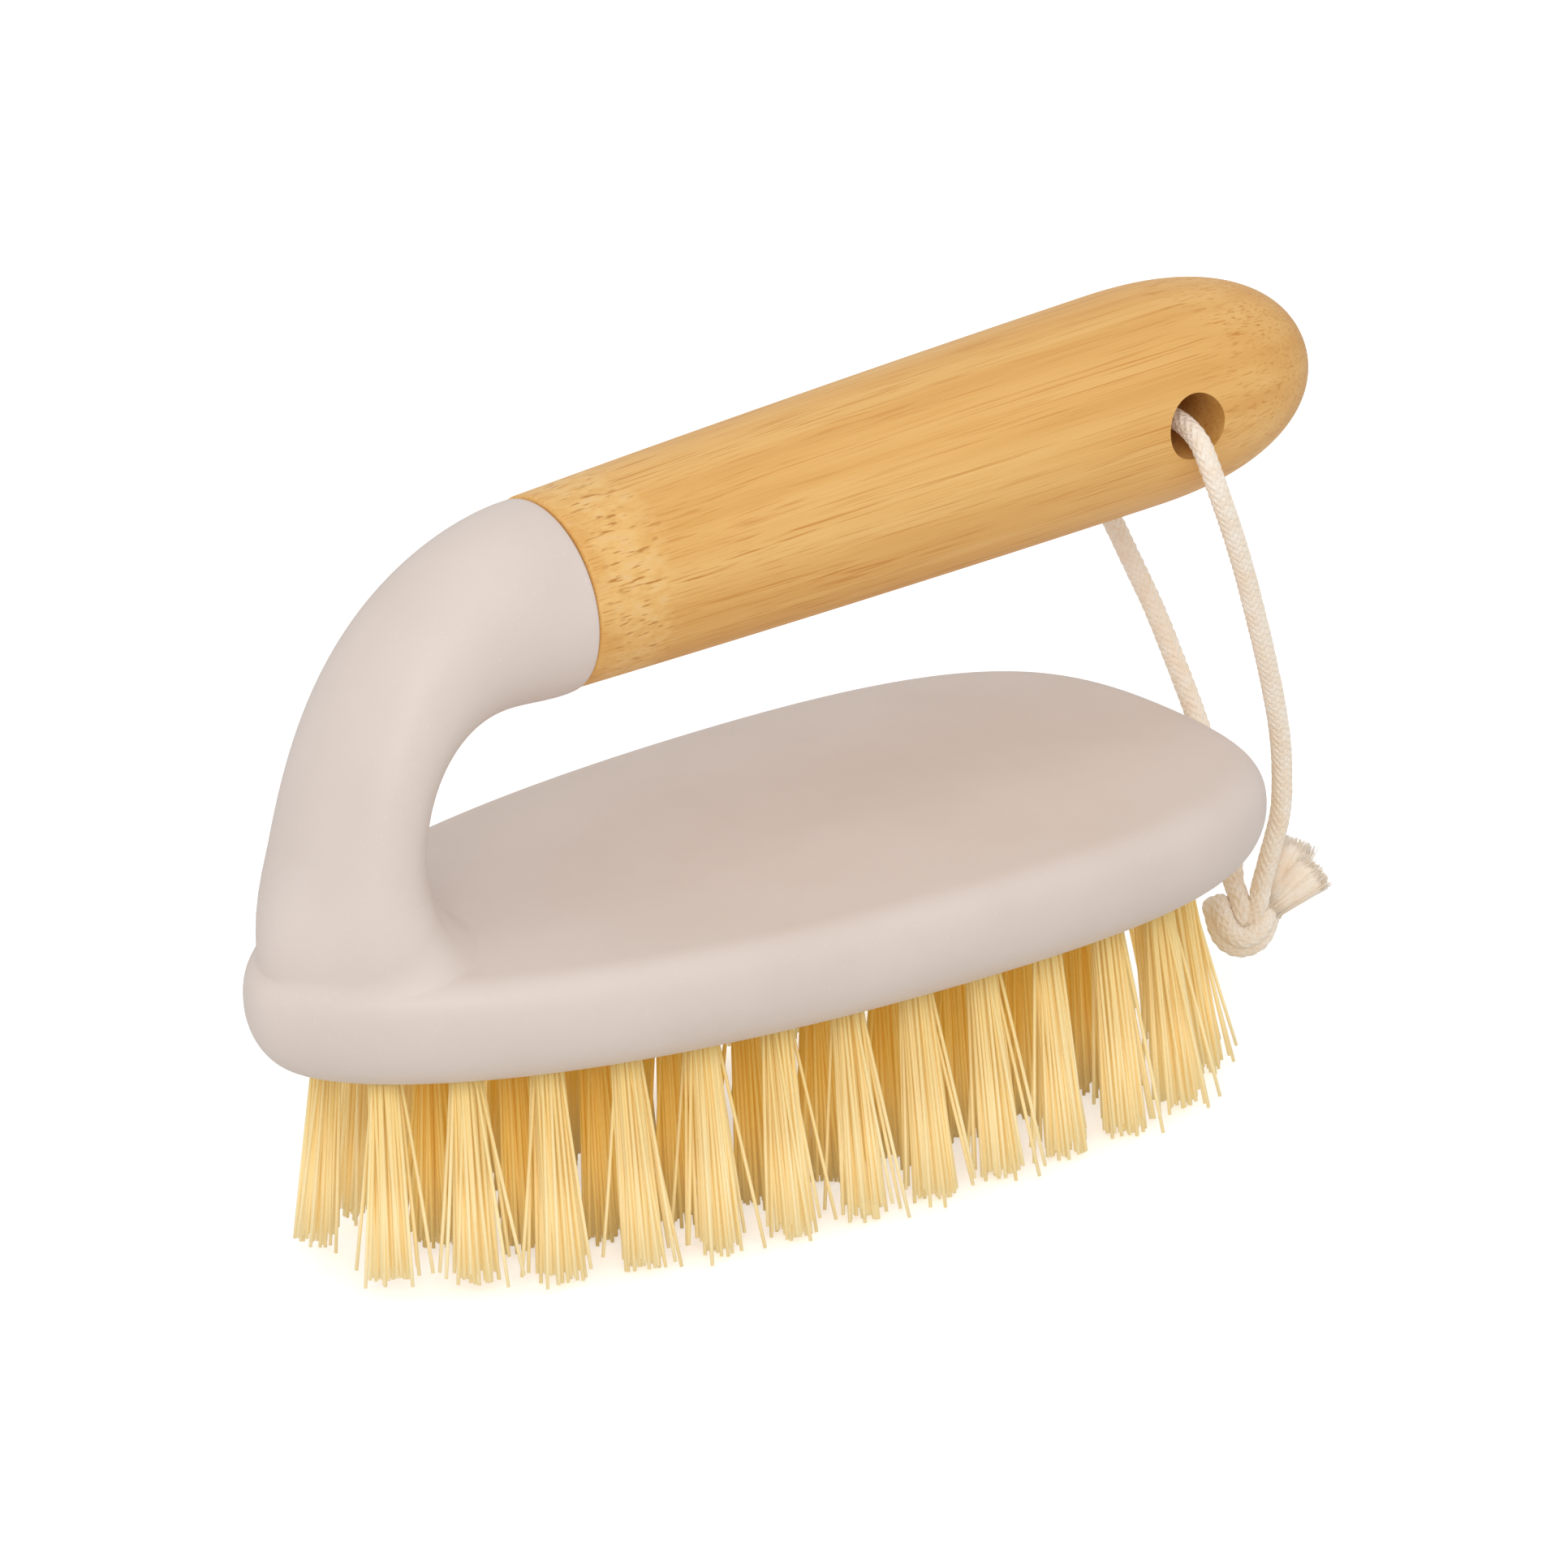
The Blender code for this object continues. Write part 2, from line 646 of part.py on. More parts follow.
def add_tuft(name, number, place, outer_strands, material):
    """One tuft: a root plug in its hole, with three-sided strands that grow out of it."""
    point, shift = place
    shape = bmesh.new()
    top = BRISTLE_LENGTH + ROOT_LENGTH
    root = HOLE_DIAMETER / 2 - CLEARANCE
    edges = edges_within(slanted_post(shape, place, root, BRISTLE_LENGTH, top)[0])
    for strand, (x, y, angle) in enumerate(strand_spots(outer_strands)):
        end = tip_height(number, strand, point[0])
        fall = (BRISTLE_LENGTH - end) / BRISTLE_LENGTH
        spread = 1 + (STRAND_SPREAD - 1) * fall
        prong = circle(STRAND_WIDTH / math.sqrt(3), 3, angle)
        start = prong + point + (x, y)
        finish = prong + point + shift * fall + np.array((x, y)) * spread
        rings = [
            np.column_stack([finish, np.full(3, end)]),
            np.column_stack([start, np.full(3, BRISTLE_LENGTH)]),
        ]
        edges += edges_within(skin(shape, rings, close_last=False)[1])
    bmesh.ops.triangle_fill(shape, use_beauty=True, edges=edges)
    bmesh.ops.translate(shape, vec=(-point[0], -point[1], -BRISTLE_LENGTH), verts=shape.verts)
    return add_object(name, shape, material, (point[0], point[1], BRISTLE_LENGTH))


def smooth_route():
    """Points on a smooth curve through the route's own points."""
    route = np.array(CORD_ROUTE)
    ahead = np.vstack([2 * route[0] - route[1], route, 2 * route[-1] - route[-2]])
    points = []
    for before, start, end, after in zip(ahead, ahead[1:], ahead[2:], ahead[3:]):
        for step in range(CORD_STEPS_PER_SPAN):
            t = step / CORD_STEPS_PER_SPAN
            pull = (end - before) / 2
            push = (after - start) / 2
            points.append(
                start * (2 * t**3 - 3 * t**2 + 1)
                + end * (3 * t**2 - 2 * t**3)
                + pull * (t**3 - 2 * t**2 + t)
                + push * (t**3 - t**2)
            )
    return points + [route[-1]]


def add_cord(material, axis):
    """The cord loop, a tube from knot to knot through the cross hole."""
    points = smooth_route()
    curve = bpy.data.curves.new("cord_loop", "CURVE")
    curve.dimensions = "3D"
    curve.bevel_depth = CORD_DIAMETER / 2 * MM
    curve.bevel_resolution = 2
    curve.use_fill_caps = True
    spline = curve.splines.new("POLY")
    spline.points.add(len(points) - 1)
    for slot, point in zip(spline.points, points):
        slot.co = (*(point * MM), 1.0)
    curve.materials.append(material)
    cord = bpy.data.objects.new("cord_loop", curve)
    bpy.context.scene.collection.objects.link(cord)
    cord.parent = axis
    return cord


def tube_rings(points, radii, sides):
    """Rings of a tube with its own radius at each point of its middle line."""
    ahead = np.gradient(points, axis=0)
    rings = []
    for point, along, radius in zip(points, ahead, radii):
        along = along / np.linalg.norm(along)
        side = np.cross(along, (0.0, 1.0, 0.2))
        side /= np.linalg.norm(side)
        disc = circle(radius, sides)
        rings.append(point + np.outer(disc[:, 0], side) + np.outer(disc[:, 1], np.cross(along, side)))
    return rings


def knot_centre():
    """The middle of the knot, under the two ends of the route, from the cord's pivot."""
    ends = (np.array(CORD_ROUTE[0]) + np.array(CORD_ROUTE[-1])) / 2
    return ends + KNOT_OFFSET - (0, 0, KNOT_HEIGHT / 2)


def core_rings(centre):
    """Rings of the knot's egg-shaped middle, cut flat on top where the cord runs in."""
    rings = []
    bottom, top = math.radians(-KNOT_BOTTOM_ANGLE), math.radians(KNOT_TOP_ANGLE)
    for turn in np.linspace(bottom, top, KNOT_RINGS):
        disc = circle(KNOT_WIDTH / 2 * math.cos(turn), KNOT_SIDES)
        height = KNOT_HEIGHT / 2 * math.sin(turn) / math.sin(top)
        rings.append(np.column_stack([disc, np.full(KNOT_SIDES, height)]) + centre)
    return rings


def wrap_rings(centre):
    """Rings of the cord's turn round the knot, an open hoop with its ends inside the core."""
    turns = np.radians(np.linspace(WRAP_START, WRAP_END, WRAP_STEPS))
    face = math.radians(WRAP_TURN)
    across = np.outer(np.cos(turns), (math.cos(face), -math.sin(face), 0.0))
    upward = np.outer(np.sin(turns), (0.0, 0.0, 1.0))
    points = centre + WRAP_RADIUS * (across + upward)
    return tube_rings(points, [WRAP_THICKNESS / 2] * WRAP_STEPS, LOOSE_CORD_SIDES)


def cord_end_rings(centre, side):
    """Rings of one cut cord end, which flares from the knot's centre towards its cut."""
    start = centre + np.array(CORD_END_START) * (1, side, 1)
    direction = np.array([1.0, side * CORD_END_SPLAY, CORD_END_RISE])
    direction /= np.linalg.norm(direction)
    shares = np.linspace(0, 1, CORD_END_STEPS)
    points = start + np.outer(shares, direction) * CORD_END_LENGTH
    radii = CORD_END_WIDTH / 2 * (1 + (CORD_END_FLARE - 1) * shares**2)
    return tube_rings(points, radii, LOOSE_CORD_SIDES)


def add_knot(material, axis):
    """The knot that ties the cord's ends, with the two cut ends that stand out of it."""
    centre = knot_centre()
    body = bmesh.new()
    skin(body, core_rings(centre))
    knot = add_object("cord_knot", body, material)
    knot.parent = axis
    forms = {
        "wrap_form": wrap_rings(centre),
        "near_end_form": cord_end_rings(centre, -1),
        "far_end_form": cord_end_rings(centre, 1),
    }
    for name, rings in forms.items():
        shape = bmesh.new()
        skin(shape, rings)
        form = add_object(name, shape, None)
        form.parent = axis
        add_boolean(knot, "UNION", make_helper(form))
    return knot


def main():
    clear_scene()
    plastic = finish_material("warm_grey_plastic", (222, 208, 199), 0.55)
    bamboo = finish_material("bamboo", (231, 180, 110), 0.5)
    bristle = finish_material("bristle", (243, 209, 142), 0.45)
    cotton = finish_material("cotton_cord", (233, 213, 190), 0.9)

    rings = tuft_places()
    add_head(plastic, [place for ring in rings.values() for place in ring])
    add_grip(bamboo)
    number = 0
    for row, places in rings.items():
        outer_strands = OUTER_STRANDS - 1 if row == "centre" else OUTER_STRANDS
        for k, place in enumerate(places, 1):
            add_tuft(f"tuft_{row}_{k:02d}", number, place, outer_strands, bristle)
            number += 1

    axis = bpy.data.objects.new("cord_axis", None)
    axis.location = [float(part) * MM for part in PIVOT]
    bpy.context.scene.collection.objects.link(axis)
    add_cord(cotton, axis)
    add_knot(cotton, axis)


main()
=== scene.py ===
"""Dressed scene of a hand scrub brush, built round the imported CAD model.

A warm grey moulded head carries a turned bamboo grip, three rows of bristle tufts stand in its
underside, and a braided cotton cord is tied through the grip. Lengths in the classes are
millimetres, and the meshes are metres in the model's own frame: +X runs towards the grip's free
end, +Z is up, and the bristle tips stand on z = 0.
"""

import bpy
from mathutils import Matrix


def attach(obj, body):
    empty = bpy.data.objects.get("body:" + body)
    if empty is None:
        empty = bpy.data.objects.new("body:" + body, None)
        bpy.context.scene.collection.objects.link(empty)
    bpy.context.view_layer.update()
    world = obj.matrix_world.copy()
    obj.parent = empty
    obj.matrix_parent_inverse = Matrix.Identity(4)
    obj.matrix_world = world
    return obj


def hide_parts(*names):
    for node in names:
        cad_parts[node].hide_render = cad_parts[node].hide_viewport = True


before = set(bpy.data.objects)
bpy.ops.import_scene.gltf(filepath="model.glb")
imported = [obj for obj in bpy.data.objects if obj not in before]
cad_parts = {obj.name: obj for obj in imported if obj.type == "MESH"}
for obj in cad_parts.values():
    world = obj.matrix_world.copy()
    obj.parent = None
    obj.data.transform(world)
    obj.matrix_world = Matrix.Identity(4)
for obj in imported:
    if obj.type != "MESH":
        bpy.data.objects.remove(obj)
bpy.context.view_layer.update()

import logging
import math
from dataclasses import dataclass, field as option
from enum import Enum
from functools import partial
from typing import Callable, Mapping, Sequence, Union

import bmesh
import bpy
import numpy as np
from bmesh.types import BMesh
from bpy.types import ID, Material, Node, NodeSocket, NodeTree, Object
from mathutils import Matrix, Vector

MM = 0.001
# The side of the photograph's frame in pixels, which the focal length is given for.
IMAGE_SIDE = 1932
# Points within this many millimetres of a height count as lying at it.
LEVEL_SLACK = 0.05
POLYPROPYLENE_IOR = 1.49
# The middle of the grip's shoulder, and how many degrees the grip rises to its free end.
SHOULDER = (-32.2018, 0.0, 74.05)
TILT = 2.48

logging.basicConfig(level=logging.INFO, format="%(message)s")
LOG = logging.getLogger("scrub_brush")

# Short names for kinds of node, each with the settings that go with it.
KINDS: dict[str, tuple[str, dict[str, str]]] = {
    "align": ("FunctionNodeAlignRotationToVector", {}),
    "attribute": ("ShaderNodeAttribute", {}),
    "background": ("ShaderNodeBackground", {}),
    "blend": ("ShaderNodeMix", {"data_type": "RGBA"}),
    "bump": ("ShaderNodeBump", {}),
    "combine": ("ShaderNodeCombineXYZ", {}),
    "coordinates": ("ShaderNodeTexCoord", {}),
    "light_path": ("ShaderNodeLightPath", {}),
    "move": ("GeometryNodeSetPosition", {}),
    "noise": ("ShaderNodeTexNoise", {}),
    "ramp": ("ShaderNodeValToRGB", {}),
    "random_number": ("FunctionNodeRandomValue", {"data_type": "FLOAT"}),
    "random_vector": ("FunctionNodeRandomValue", {"data_type": "FLOAT_VECTOR"}),
    # The value, the range that it comes from and the range that it goes to.
    "range": ("ShaderNodeMapRange", {}),
    "realize": ("GeometryNodeRealizeInstances", {}),
    "repeat": ("GeometryNodeDuplicateElements", {}),
    "ring": ("GeometryNodeCurvePrimitiveCircle", {}),
    "separate": ("ShaderNodeSeparateXYZ", {}),
    "smooth_range": ("ShaderNodeMapRange", {"interpolation_type": "SMOOTHSTEP"}),
    "store_number": ("GeometryNodeStoreNamedAttribute", {"data_type": "FLOAT"}),
    "store_vector": ("GeometryNodeStoreNamedAttribute", {"data_type": "FLOAT_VECTOR"}),
    "stored_number": ("GeometryNodeInputNamedAttribute", {"data_type": "FLOAT"}),
    "stored_vector": ("GeometryNodeInputNamedAttribute", {"data_type": "FLOAT_VECTOR"}),
    "stored_whole": ("GeometryNodeInputNamedAttribute", {"data_type": "INT"}),
    "sweep": ("GeometryNodeCurveToMesh", {}),
}
# Kinds with an operation: what their short names start with, the kind and its operations.
OPERATIONS = (
    ("", "ShaderNodeMath", "ABSOLUTE ADD COSINE DIVIDE FLOOR MAXIMUM MODULO MULTIPLY"),
    ("", "ShaderNodeMath", "MULTIPLY_ADD POWER SINE SQRT SUBTRACT"),
    ("vector_", "ShaderNodeVectorMath", "ADD CROSS_PRODUCT DOT_PRODUCT LENGTH MULTIPLY SCALE"),
)
KINDS.update(
    (start + operation.lower(), (kind, {"operation": operation}))
    for start, kind, operations in OPERATIONS for operation in operations.split()
)

Setting = Union[float, int, bool, str, tuple, Node, NodeSocket, ID]
NodeMaker = Callable[..., Node]
Point = tuple[float, float, float]
Sizes = tuple[float, ...]
# The direction across the brush.
ACROSS = (0.0, 1.0, 0.0)


class Body(Enum):
    """The bodies of the model that a piece can ride on."""

    BRUSH = "brush"
    CORD = "cord"


class Slot(Enum):
    """Names of four material slots."""

    PLASTIC = "warm_grey_plastic"
    BAMBOO = "bamboo"
    BRISTLE = "bristle"
    COTTON = "cotton_cord"


def linear(colour: str) -> tuple[float, float, float, float]:
    """Turn an sRGB hex colour into linear RGBA.

    Args:
        colour: Six hex digits, such as "d9cbc0".

    Returns:
        Red, green, blue and an alpha of 1.
    """
    parts = [int(colour[k : k + 2], 16) / 255 for k in (0, 2, 4)]
    return (*(p / 12.92 if p <= 0.04045 else ((p + 0.055) / 1.055) ** 2.4 for p in parts), 1.0)


def set_inputs(node: Node, *places: Setting, **names: Setting) -> None:
    """Link or set the inputs of a node.

    A node or a socket is linked, and anything else becomes the input's own value.

    Args:
        node: The node.
        *places: What its first inputs get.
        **names: What other inputs get, by their names with _ for a space.
    """
    sockets = [socket for socket in node.inputs if socket.enabled]
    rows = list(zip(sockets, places))
    for name, value in names.items():
        rows.append((next(s for s in sockets if s.name == name.replace("_", " ")), value))
    for socket, value in rows:
        if isinstance(value, Node):
            value = next(out for out in value.outputs if out.enabled)
        if isinstance(value, NodeSocket):
            node.id_data.links.new(value, socket)
        else:
            socket.default_value = value


def add_node(tree: NodeTree, kind: str, *places: Setting, **more: Setting) -> Node:
    """Add one node with its settings and links.

    Args:
        tree: The node tree.
        kind: A short name from KINDS, or the node's own type.
        *places: What its first inputs get.
        **more: What other inputs get, by names with a capital, and properties of the node.

    Returns:
        The new node.
    """
    kind, settings = KINDS.get(kind, (kind, {}))
    node = tree.nodes.new(kind)
    inputs = {name: value for name, value in more.items() if name[0].isupper()}
    for name, value in {**settings, **more}.items():
        if name not in inputs:
            setattr(node, name, value)
    set_inputs(node, *places, **inputs)
    return node


def set_ramp(node: Node, stops: Sequence[tuple[float, str]]) -> None:
    """Give a Color Ramp its stops.

    Args:
        node: The Color Ramp node.
        stops: Rows of (place from 0 to 1, sRGB hex colour).
    """
    elements = node.color_ramp.elements
    while len(elements) < len(stops):
        elements.new(1.0)
    for element, (place, colour) in zip(elements, stops):
        element.position = place
        element.color = linear(colour)


def new_material(name: str) -> tuple[Material, NodeMaker, Node]:
    """Make a material with nothing in it but its Principled shader and its output.

    Args:
        name: The material's name.

    Returns:
        The material, add_node for its tree, and its Principled node.
    """
    material = bpy.data.materials.new(name)
    material.use_nodes = True
    tree = material.node_tree
    return material, partial(add_node, tree), tree.nodes["Principled BSDF"]


@dataclass(frozen=True)
class MouldedPlastic:
    """Polypropylene out of a finely eroded mould: satin, pale, with a faint mottle."""

    colour: str = "dfd1c8"
    shade: str = "dccdc3"
    speck: str = "e8ddd6"
    mottle_size: float = 16.0
    grain_size: float = 0.45
    grain_depth: float = 0.05
    roughness: Sizes = (0.42, 0.54)

    def build(self) -> Material:
        """Make the material.

        Returns:
            The material.
        """
        material, node, shader = new_material("satin_moulded_polypropylene")
        place = node("coordinates").outputs["Object"]
        # Flow of the melt leaves clouds a centimetre or two across.
        mottle = node(
            "noise", Vector=place, Scale=1 / (self.mottle_size * MM), Detail=3.0, Roughness=0.55
        )
        # The mould's eroded grain shows as a very fine speckle.
        grain = node(
            "noise", Vector=place, Scale=1 / (self.grain_size * MM), Detail=2.0, Roughness=0.6
        )
        cloud = node("range", mottle, 0.35, 0.65, 0.0, 1.0)
        base = node("blend", cloud, linear(self.colour), linear(self.shade))
        fleck = node("range", grain, 0.62, 0.8, 0.0, 0.5)
        mixed = node("blend", fleck, base, linear(self.speck))
        gloss = node("range", grain, 0.3, 0.7, *self.roughness)
        bump = node("bump", Height=grain, Strength=0.12, Distance=self.grain_depth * MM)
        set_inputs(shader, Base_Color=mixed, Roughness=gloss, Normal=bump, IOR=POLYPROPYLENE_IOR)
        return material


@dataclass(frozen=True)
class TurnedBamboo:
    """Bamboo strips turned on a lathe, sanded and oiled: warm straw with orange fibre bundles."""

    pale: str = "f0c27a"
    middle: str = "e8b469"
    deep: str = "dca256"
    bundle: str = "c67e2c"
    end_grain: str = "c18c45"
    knot_pale: str = "efc78c"
    knot_dark: str = "bb7c38"
    joint: Point = SHOULDER
    tilt: float = TILT
    # The belt of the cane's node along the grip: where it fades in and out, and how far its
    # borders wander.
    belt_start: Sizes = (3.5, 6.0)
    belt_end: Sizes = (10.5, 14.0)
    belt_wander: float = 6.0
    # How much the open end darkens, and how strongly the cut bundles show there.
    soak: float = 0.35
    cut_strength: float = 0.6
    grain_depth: float = 0.06
    roughness: Sizes = (0.44, 0.6)

    def build(self) -> Material:
        """Make the material.

        Returns:
            The material.
        """
        material, node, shader = new_material("turned_oiled_bamboo")
        place = node("coordinates").outputs["Object"]
        # Coordinates along and across the grip, from its shoulder.
        local = node(
            "ShaderNodeMapping", Vector=place, Location=tuple(part * MM for part in self.joint),
            Rotation=(0.0, -math.radians(self.tilt), 0.0), Scale=(MM, MM, MM),
            vector_type="TEXTURE"
        )
        along = node("separate", local).outputs["X"]

        def cloud(
            place: Node, pitch: tuple[float, float], detail: float, roughness: float = 0.5
        ) -> Node:
            """Noise that is drawn out along the grip.

            Args:
                place: Coordinates along and across the grip.
                pitch: Its frequencies along and across.
                detail: The noise's detail.
                roughness: The noise's roughness.

            Returns:
                The noise node.
            """
            drawn = node("vector_multiply", place, (*pitch, pitch[1]))
            return node("noise", Vector=drawn, Scale=1.0, Detail=detail, Roughness=roughness)

        # Growth carries the bundles a little to and fro.
        drift = cloud(local, (0.015, 0.06), 1.0)
        swing = node("vector_multiply", drift.outputs["Color"], (0.0, 1.6, 1.6))
        drifted = node("vector_add", local, swing)

        def streaks(spacing: float, reach: float, low: float, high: float) -> Node:
            """Fibre bundles as many thin lines of uneven length along the grip.

            Args:
                spacing: Their distance from each other.
                reach: Their usual length.
                low: The level of noise at which a line begins.
                high: The level at which it is full.

            Returns:
                A node that gives 1 on the lines and 0 between them.
            """
            noise = cloud(drifted, (1 / reach, 1 / spacing), 1.5)
            return node("smooth_range", noise, low, high, 0.0, 1.0)

        long_bundles = streaks(0.3, 60.0, 0.58, 0.7)
        short_bundles = streaks(0.24, 20.0, 0.56, 0.76)
        node_flecks = streaks(0.36, 2.2, 0.56, 0.72)

        # Where bundles are cut across they show as dots, the ends of long thin cells.
        stretched = node("vector_multiply", drifted, (1 / 7.0, 1 / 0.55, 1 / 0.55))
        cells = node("ShaderNodeTexVoronoi", Vector=stretched, Scale=1.0)
        cut_bundles = node("smooth_range", cells.outputs["Distance"], 0.16, 0.42, 1.0, 0.0)

        # Broad bands of paler and deeper strip.
        band = cloud(local, (0.012, 0.3), 3.0)
        tone = node("ramp", band)
        set_ramp(tone, [(0.25, self.deep), (0.5, self.middle), (0.75, self.pale)])

        # Fibres finer than the bundles, drawn at a fifth of a millimetre so that they show.
        fibre = cloud(drifted, (0.05, 4.2), 3.0, 0.65)
        fine = node("range", fibre, 0.35, 0.7, 0.0, 0.3)
        base = node("blend", fine, tone, linear(self.deep))

        # Bundles gather in some strips and thin out in others.
        gather = cloud(local, (0.03, 0.3), 2.0)
        dense = node("range", gather, 0.4, 0.66, 0.25, 0.8)
        long_mark = node("multiply", long_bundles, dense)
        short_mark = node("multiply", short_bundles, 0.5)
        mark = node("maximum", long_mark, short_mark)
        streaked = node("blend", mark, base, linear(self.bundle))

        # The cane's node, a belt near the shoulder, is flecked and has no long streaks.
        wander = node("noise", Vector=local, Scale=0.45, Detail=2.0)
        shifted = node("multiply_add", wander, self.belt_wander, along)
        belt_in = node("range", shifted, *self.belt_start, 0.0, 0.85)
        belt_out = node("range", shifted, *self.belt_end, 1.0, 0.0)
        belt = node("multiply", belt_in, belt_out)
        blotch = cloud(local, (0.5, 0.9), 3.0)
        knot_tone = node("ramp", blotch)
        set_ramp(knot_tone, [(0.36, self.middle), (0.54, self.pale), (0.74, self.knot_pale)])
        flecked = node("blend", node_flecks, knot_tone.outputs[0], linear(self.knot_dark))
        belted = node("blend", belt, streaked, flecked)

        # Where the surface turns to face along the grip, the bundles show as dark cut ends.
        facing = node("coordinates").outputs["Normal"]
        axis = (math.cos(math.radians(self.tilt)), 0.0, math.sin(math.radians(self.tilt)))
        turned = node("vector_dot_product", facing, axis)
        away = node("absolute", turned.outputs["Value"])
        cut_through = node("smooth_range", away, 0.2, 0.8, 0.0, 1.0)
        open_end = node("range", along, 2.0, 6.0, 0.0, 1.0)
        across = node("multiply", cut_through, open_end)
        soaked = node("multiply", across, self.soak)
        dark = node("blend", soaked, belted, linear(self.end_grain))
        dotted = node("multiply", across, cut_bundles)
        dots = node("multiply", dotted, self.cut_strength)
        grained = node("blend", dots, dark, linear(self.bundle))
        relief = node("subtract", mark, fibre)
        bump = node(
            "bump", Height=relief, Strength=0.25, Distance=self.grain_depth * MM, invert=True
        )
        gloss = node("range", mark, 0.0, 1.0, *self.roughness)
        set_inputs(
            shader, Base_Color=grained, Roughness=gloss, Normal=bump, IOR=1.5,
            Specular_IOR_Level=0.3
        )
        return material


@dataclass(frozen=True)
class BristleFilament:
    """Extruded polypropylene filament dyed straw yellow: smooth and half see-through."""

    pale: str = "ffebbc"
    deep: str = "fbdfa2"
    # The colour near the roots is painted shade, where the filaments shade each other.
    root: str = "f2cb6c"
    # Painted glow: emission that stands in for light passed on among the filaments, brighter
    # towards the cut ends.
    glow: str = "b8ad73"
    tip_glow: str = "fff0b4"
    glow_strength: float = 0.2
    roughness: float = 0.4

    def build(self, name: str) -> Material:
        """Make the material.

        Args:
            name: The material's name.

        Returns:
            The material.
        """
        material, node, shader = new_material(name)
        tone = node("attribute", attribute_name="strand_tone").outputs["Fac"]
        mixed = node("blend", tone, linear(self.deep), linear(self.pale))
        # Painted shade: the colour deepens towards the roots, where light reaches only through
        # other filaments.
        share = node("attribute", attribute_name="strand_share").outputs["Fac"]
        depth = node("range", share, 0.05, 0.75, 0.75, 0.0)
        coloured = node("blend", depth, mixed, linear(self.root))
        # Painted light: a glow stands in for light that the filaments pass on to each other, more
        # often than a render follows it, and that mostly leaves near their cut ends.
        free = node("range", share, 0.55, 1.0, 0.0, 1.0)
        glowing = node("blend", free, linear(self.glow), linear(self.tip_glow))
        set_inputs(
            shader, Base_Color=coloured, Roughness=self.roughness, IOR=POLYPROPYLENE_IOR,
            Emission_Color=glowing, Emission_Strength=self.glow_strength
        )
        return material


@dataclass(frozen=True)
class SpunCotton:
    """Undyed cotton yarn, soft spun and braided: cream, matt and a little fuzzy."""

    pale: str = "fff6e9"
    deep: str = "fae7cf"
    fibre_size: float = 0.16
    cloud_size: float = 1.8
    fuzz_depth: float = 0.08
    roughness: float = 0.92
    sheen: float = 0.25

    def build(self) -> Material:
        """Make the material.

        Returns:
            The material.
        """
        material, node, shader = new_material("undyed_spun_cotton")
        place = node("coordinates").outputs["Object"]
        fibre = node("noise", Vector=place, Scale=1 / (self.fibre_size * MM), Detail=3.0)
        cloud = node("noise", Vector=place, Scale=1 / (self.cloud_size * MM))
        both = node("add", fibre, cloud)
        share = node("range", both, 0.75, 1.25, 0.0, 1.0)
        mixed = node("blend", share, linear(self.deep), linear(self.pale))
        bump = node("bump", Height=fibre, Strength=0.5, Distance=self.fuzz_depth * MM)
        set_inputs(
            shader, Base_Color=mixed, Normal=bump, Roughness=self.roughness,
            Sheen_Weight=self.sheen, Sheen_Roughness=0.5
        )
        return material


def bezier(controls: Sequence[Sequence[float]], t: np.ndarray) -> np.ndarray:
    """Points of a Bezier curve.

    Args:
        controls: Its control points.
        t: Places on it from 0 to 1.

    Returns:
        One row for each place.
    """
    points = [np.outer(np.ones(len(t)), control) for control in controls]
    share = np.asarray(t)[:, None]
    while len(points) > 1:
        points = [a * (1 - share) + b * share for a, b in zip(points, points[1:])]
    return points[0]


def through(values: Sequence[float], t: np.ndarray) -> np.ndarray:
    """The polynomial through evenly spaced values.

    Args:
        values: Its values at even steps from 0 to 1.
        t: Places from 0 to 1.

    Returns:
        Its value at each place.
    """
    stations = np.linspace(0, 1, len(values))
    total = np.zeros(len(t))
    for k, value in enumerate(values):
        others = np.delete(stations, k)
        total += value * np.prod([(t - s) / (stations[k] - s) for s in others], axis=0)
    return total


def circle(radius: float, sides: int) -> np.ndarray:
    """Points of a regular polygon.

    Args:
        radius: Its radius.
        sides: How many points it has.

    Returns:
        Rows of (x, y).
    """
    angles = np.linspace(0, 2 * math.pi, sides, endpoint=False)
    return radius * np.column_stack([np.cos(angles), np.sin(angles)])


def quarter(steps: int) -> list[tuple[float, float]]:
    """Round a corner with a quarter of a circle.

    Args:
        steps: How many places it has.

    Returns:
        Rows of (way along, way that is left down), from (0, 1) to (1, 0).
    """
    turns = np.linspace(0, math.pi / 2, steps)
    return [(1 - math.cos(turn), 1 - math.sin(turn)) for turn in turns]


def ring(
    centre: np.ndarray, disc: np.ndarray, first: Sequence[float], second: Sequence[float]
) -> np.ndarray:
    """Points of a flat ring in space.

    Args:
        centre: The ring's middle.
        disc: Rows of (u, v), its points round the middle.
        first: The direction of u.
        second: The direction of v.

    Returns:
        Rows of (x, y, z).
    """
    return centre + np.outer(disc[:, 0], first) + np.outer(disc[:, 1], second)


def metres(points: Sequence[Sequence[float]]) -> list[tuple[float, ...]]:
    """Points in metres, from points in millimetres."""
    return [tuple(float(c) * MM for c in point) for point in points]


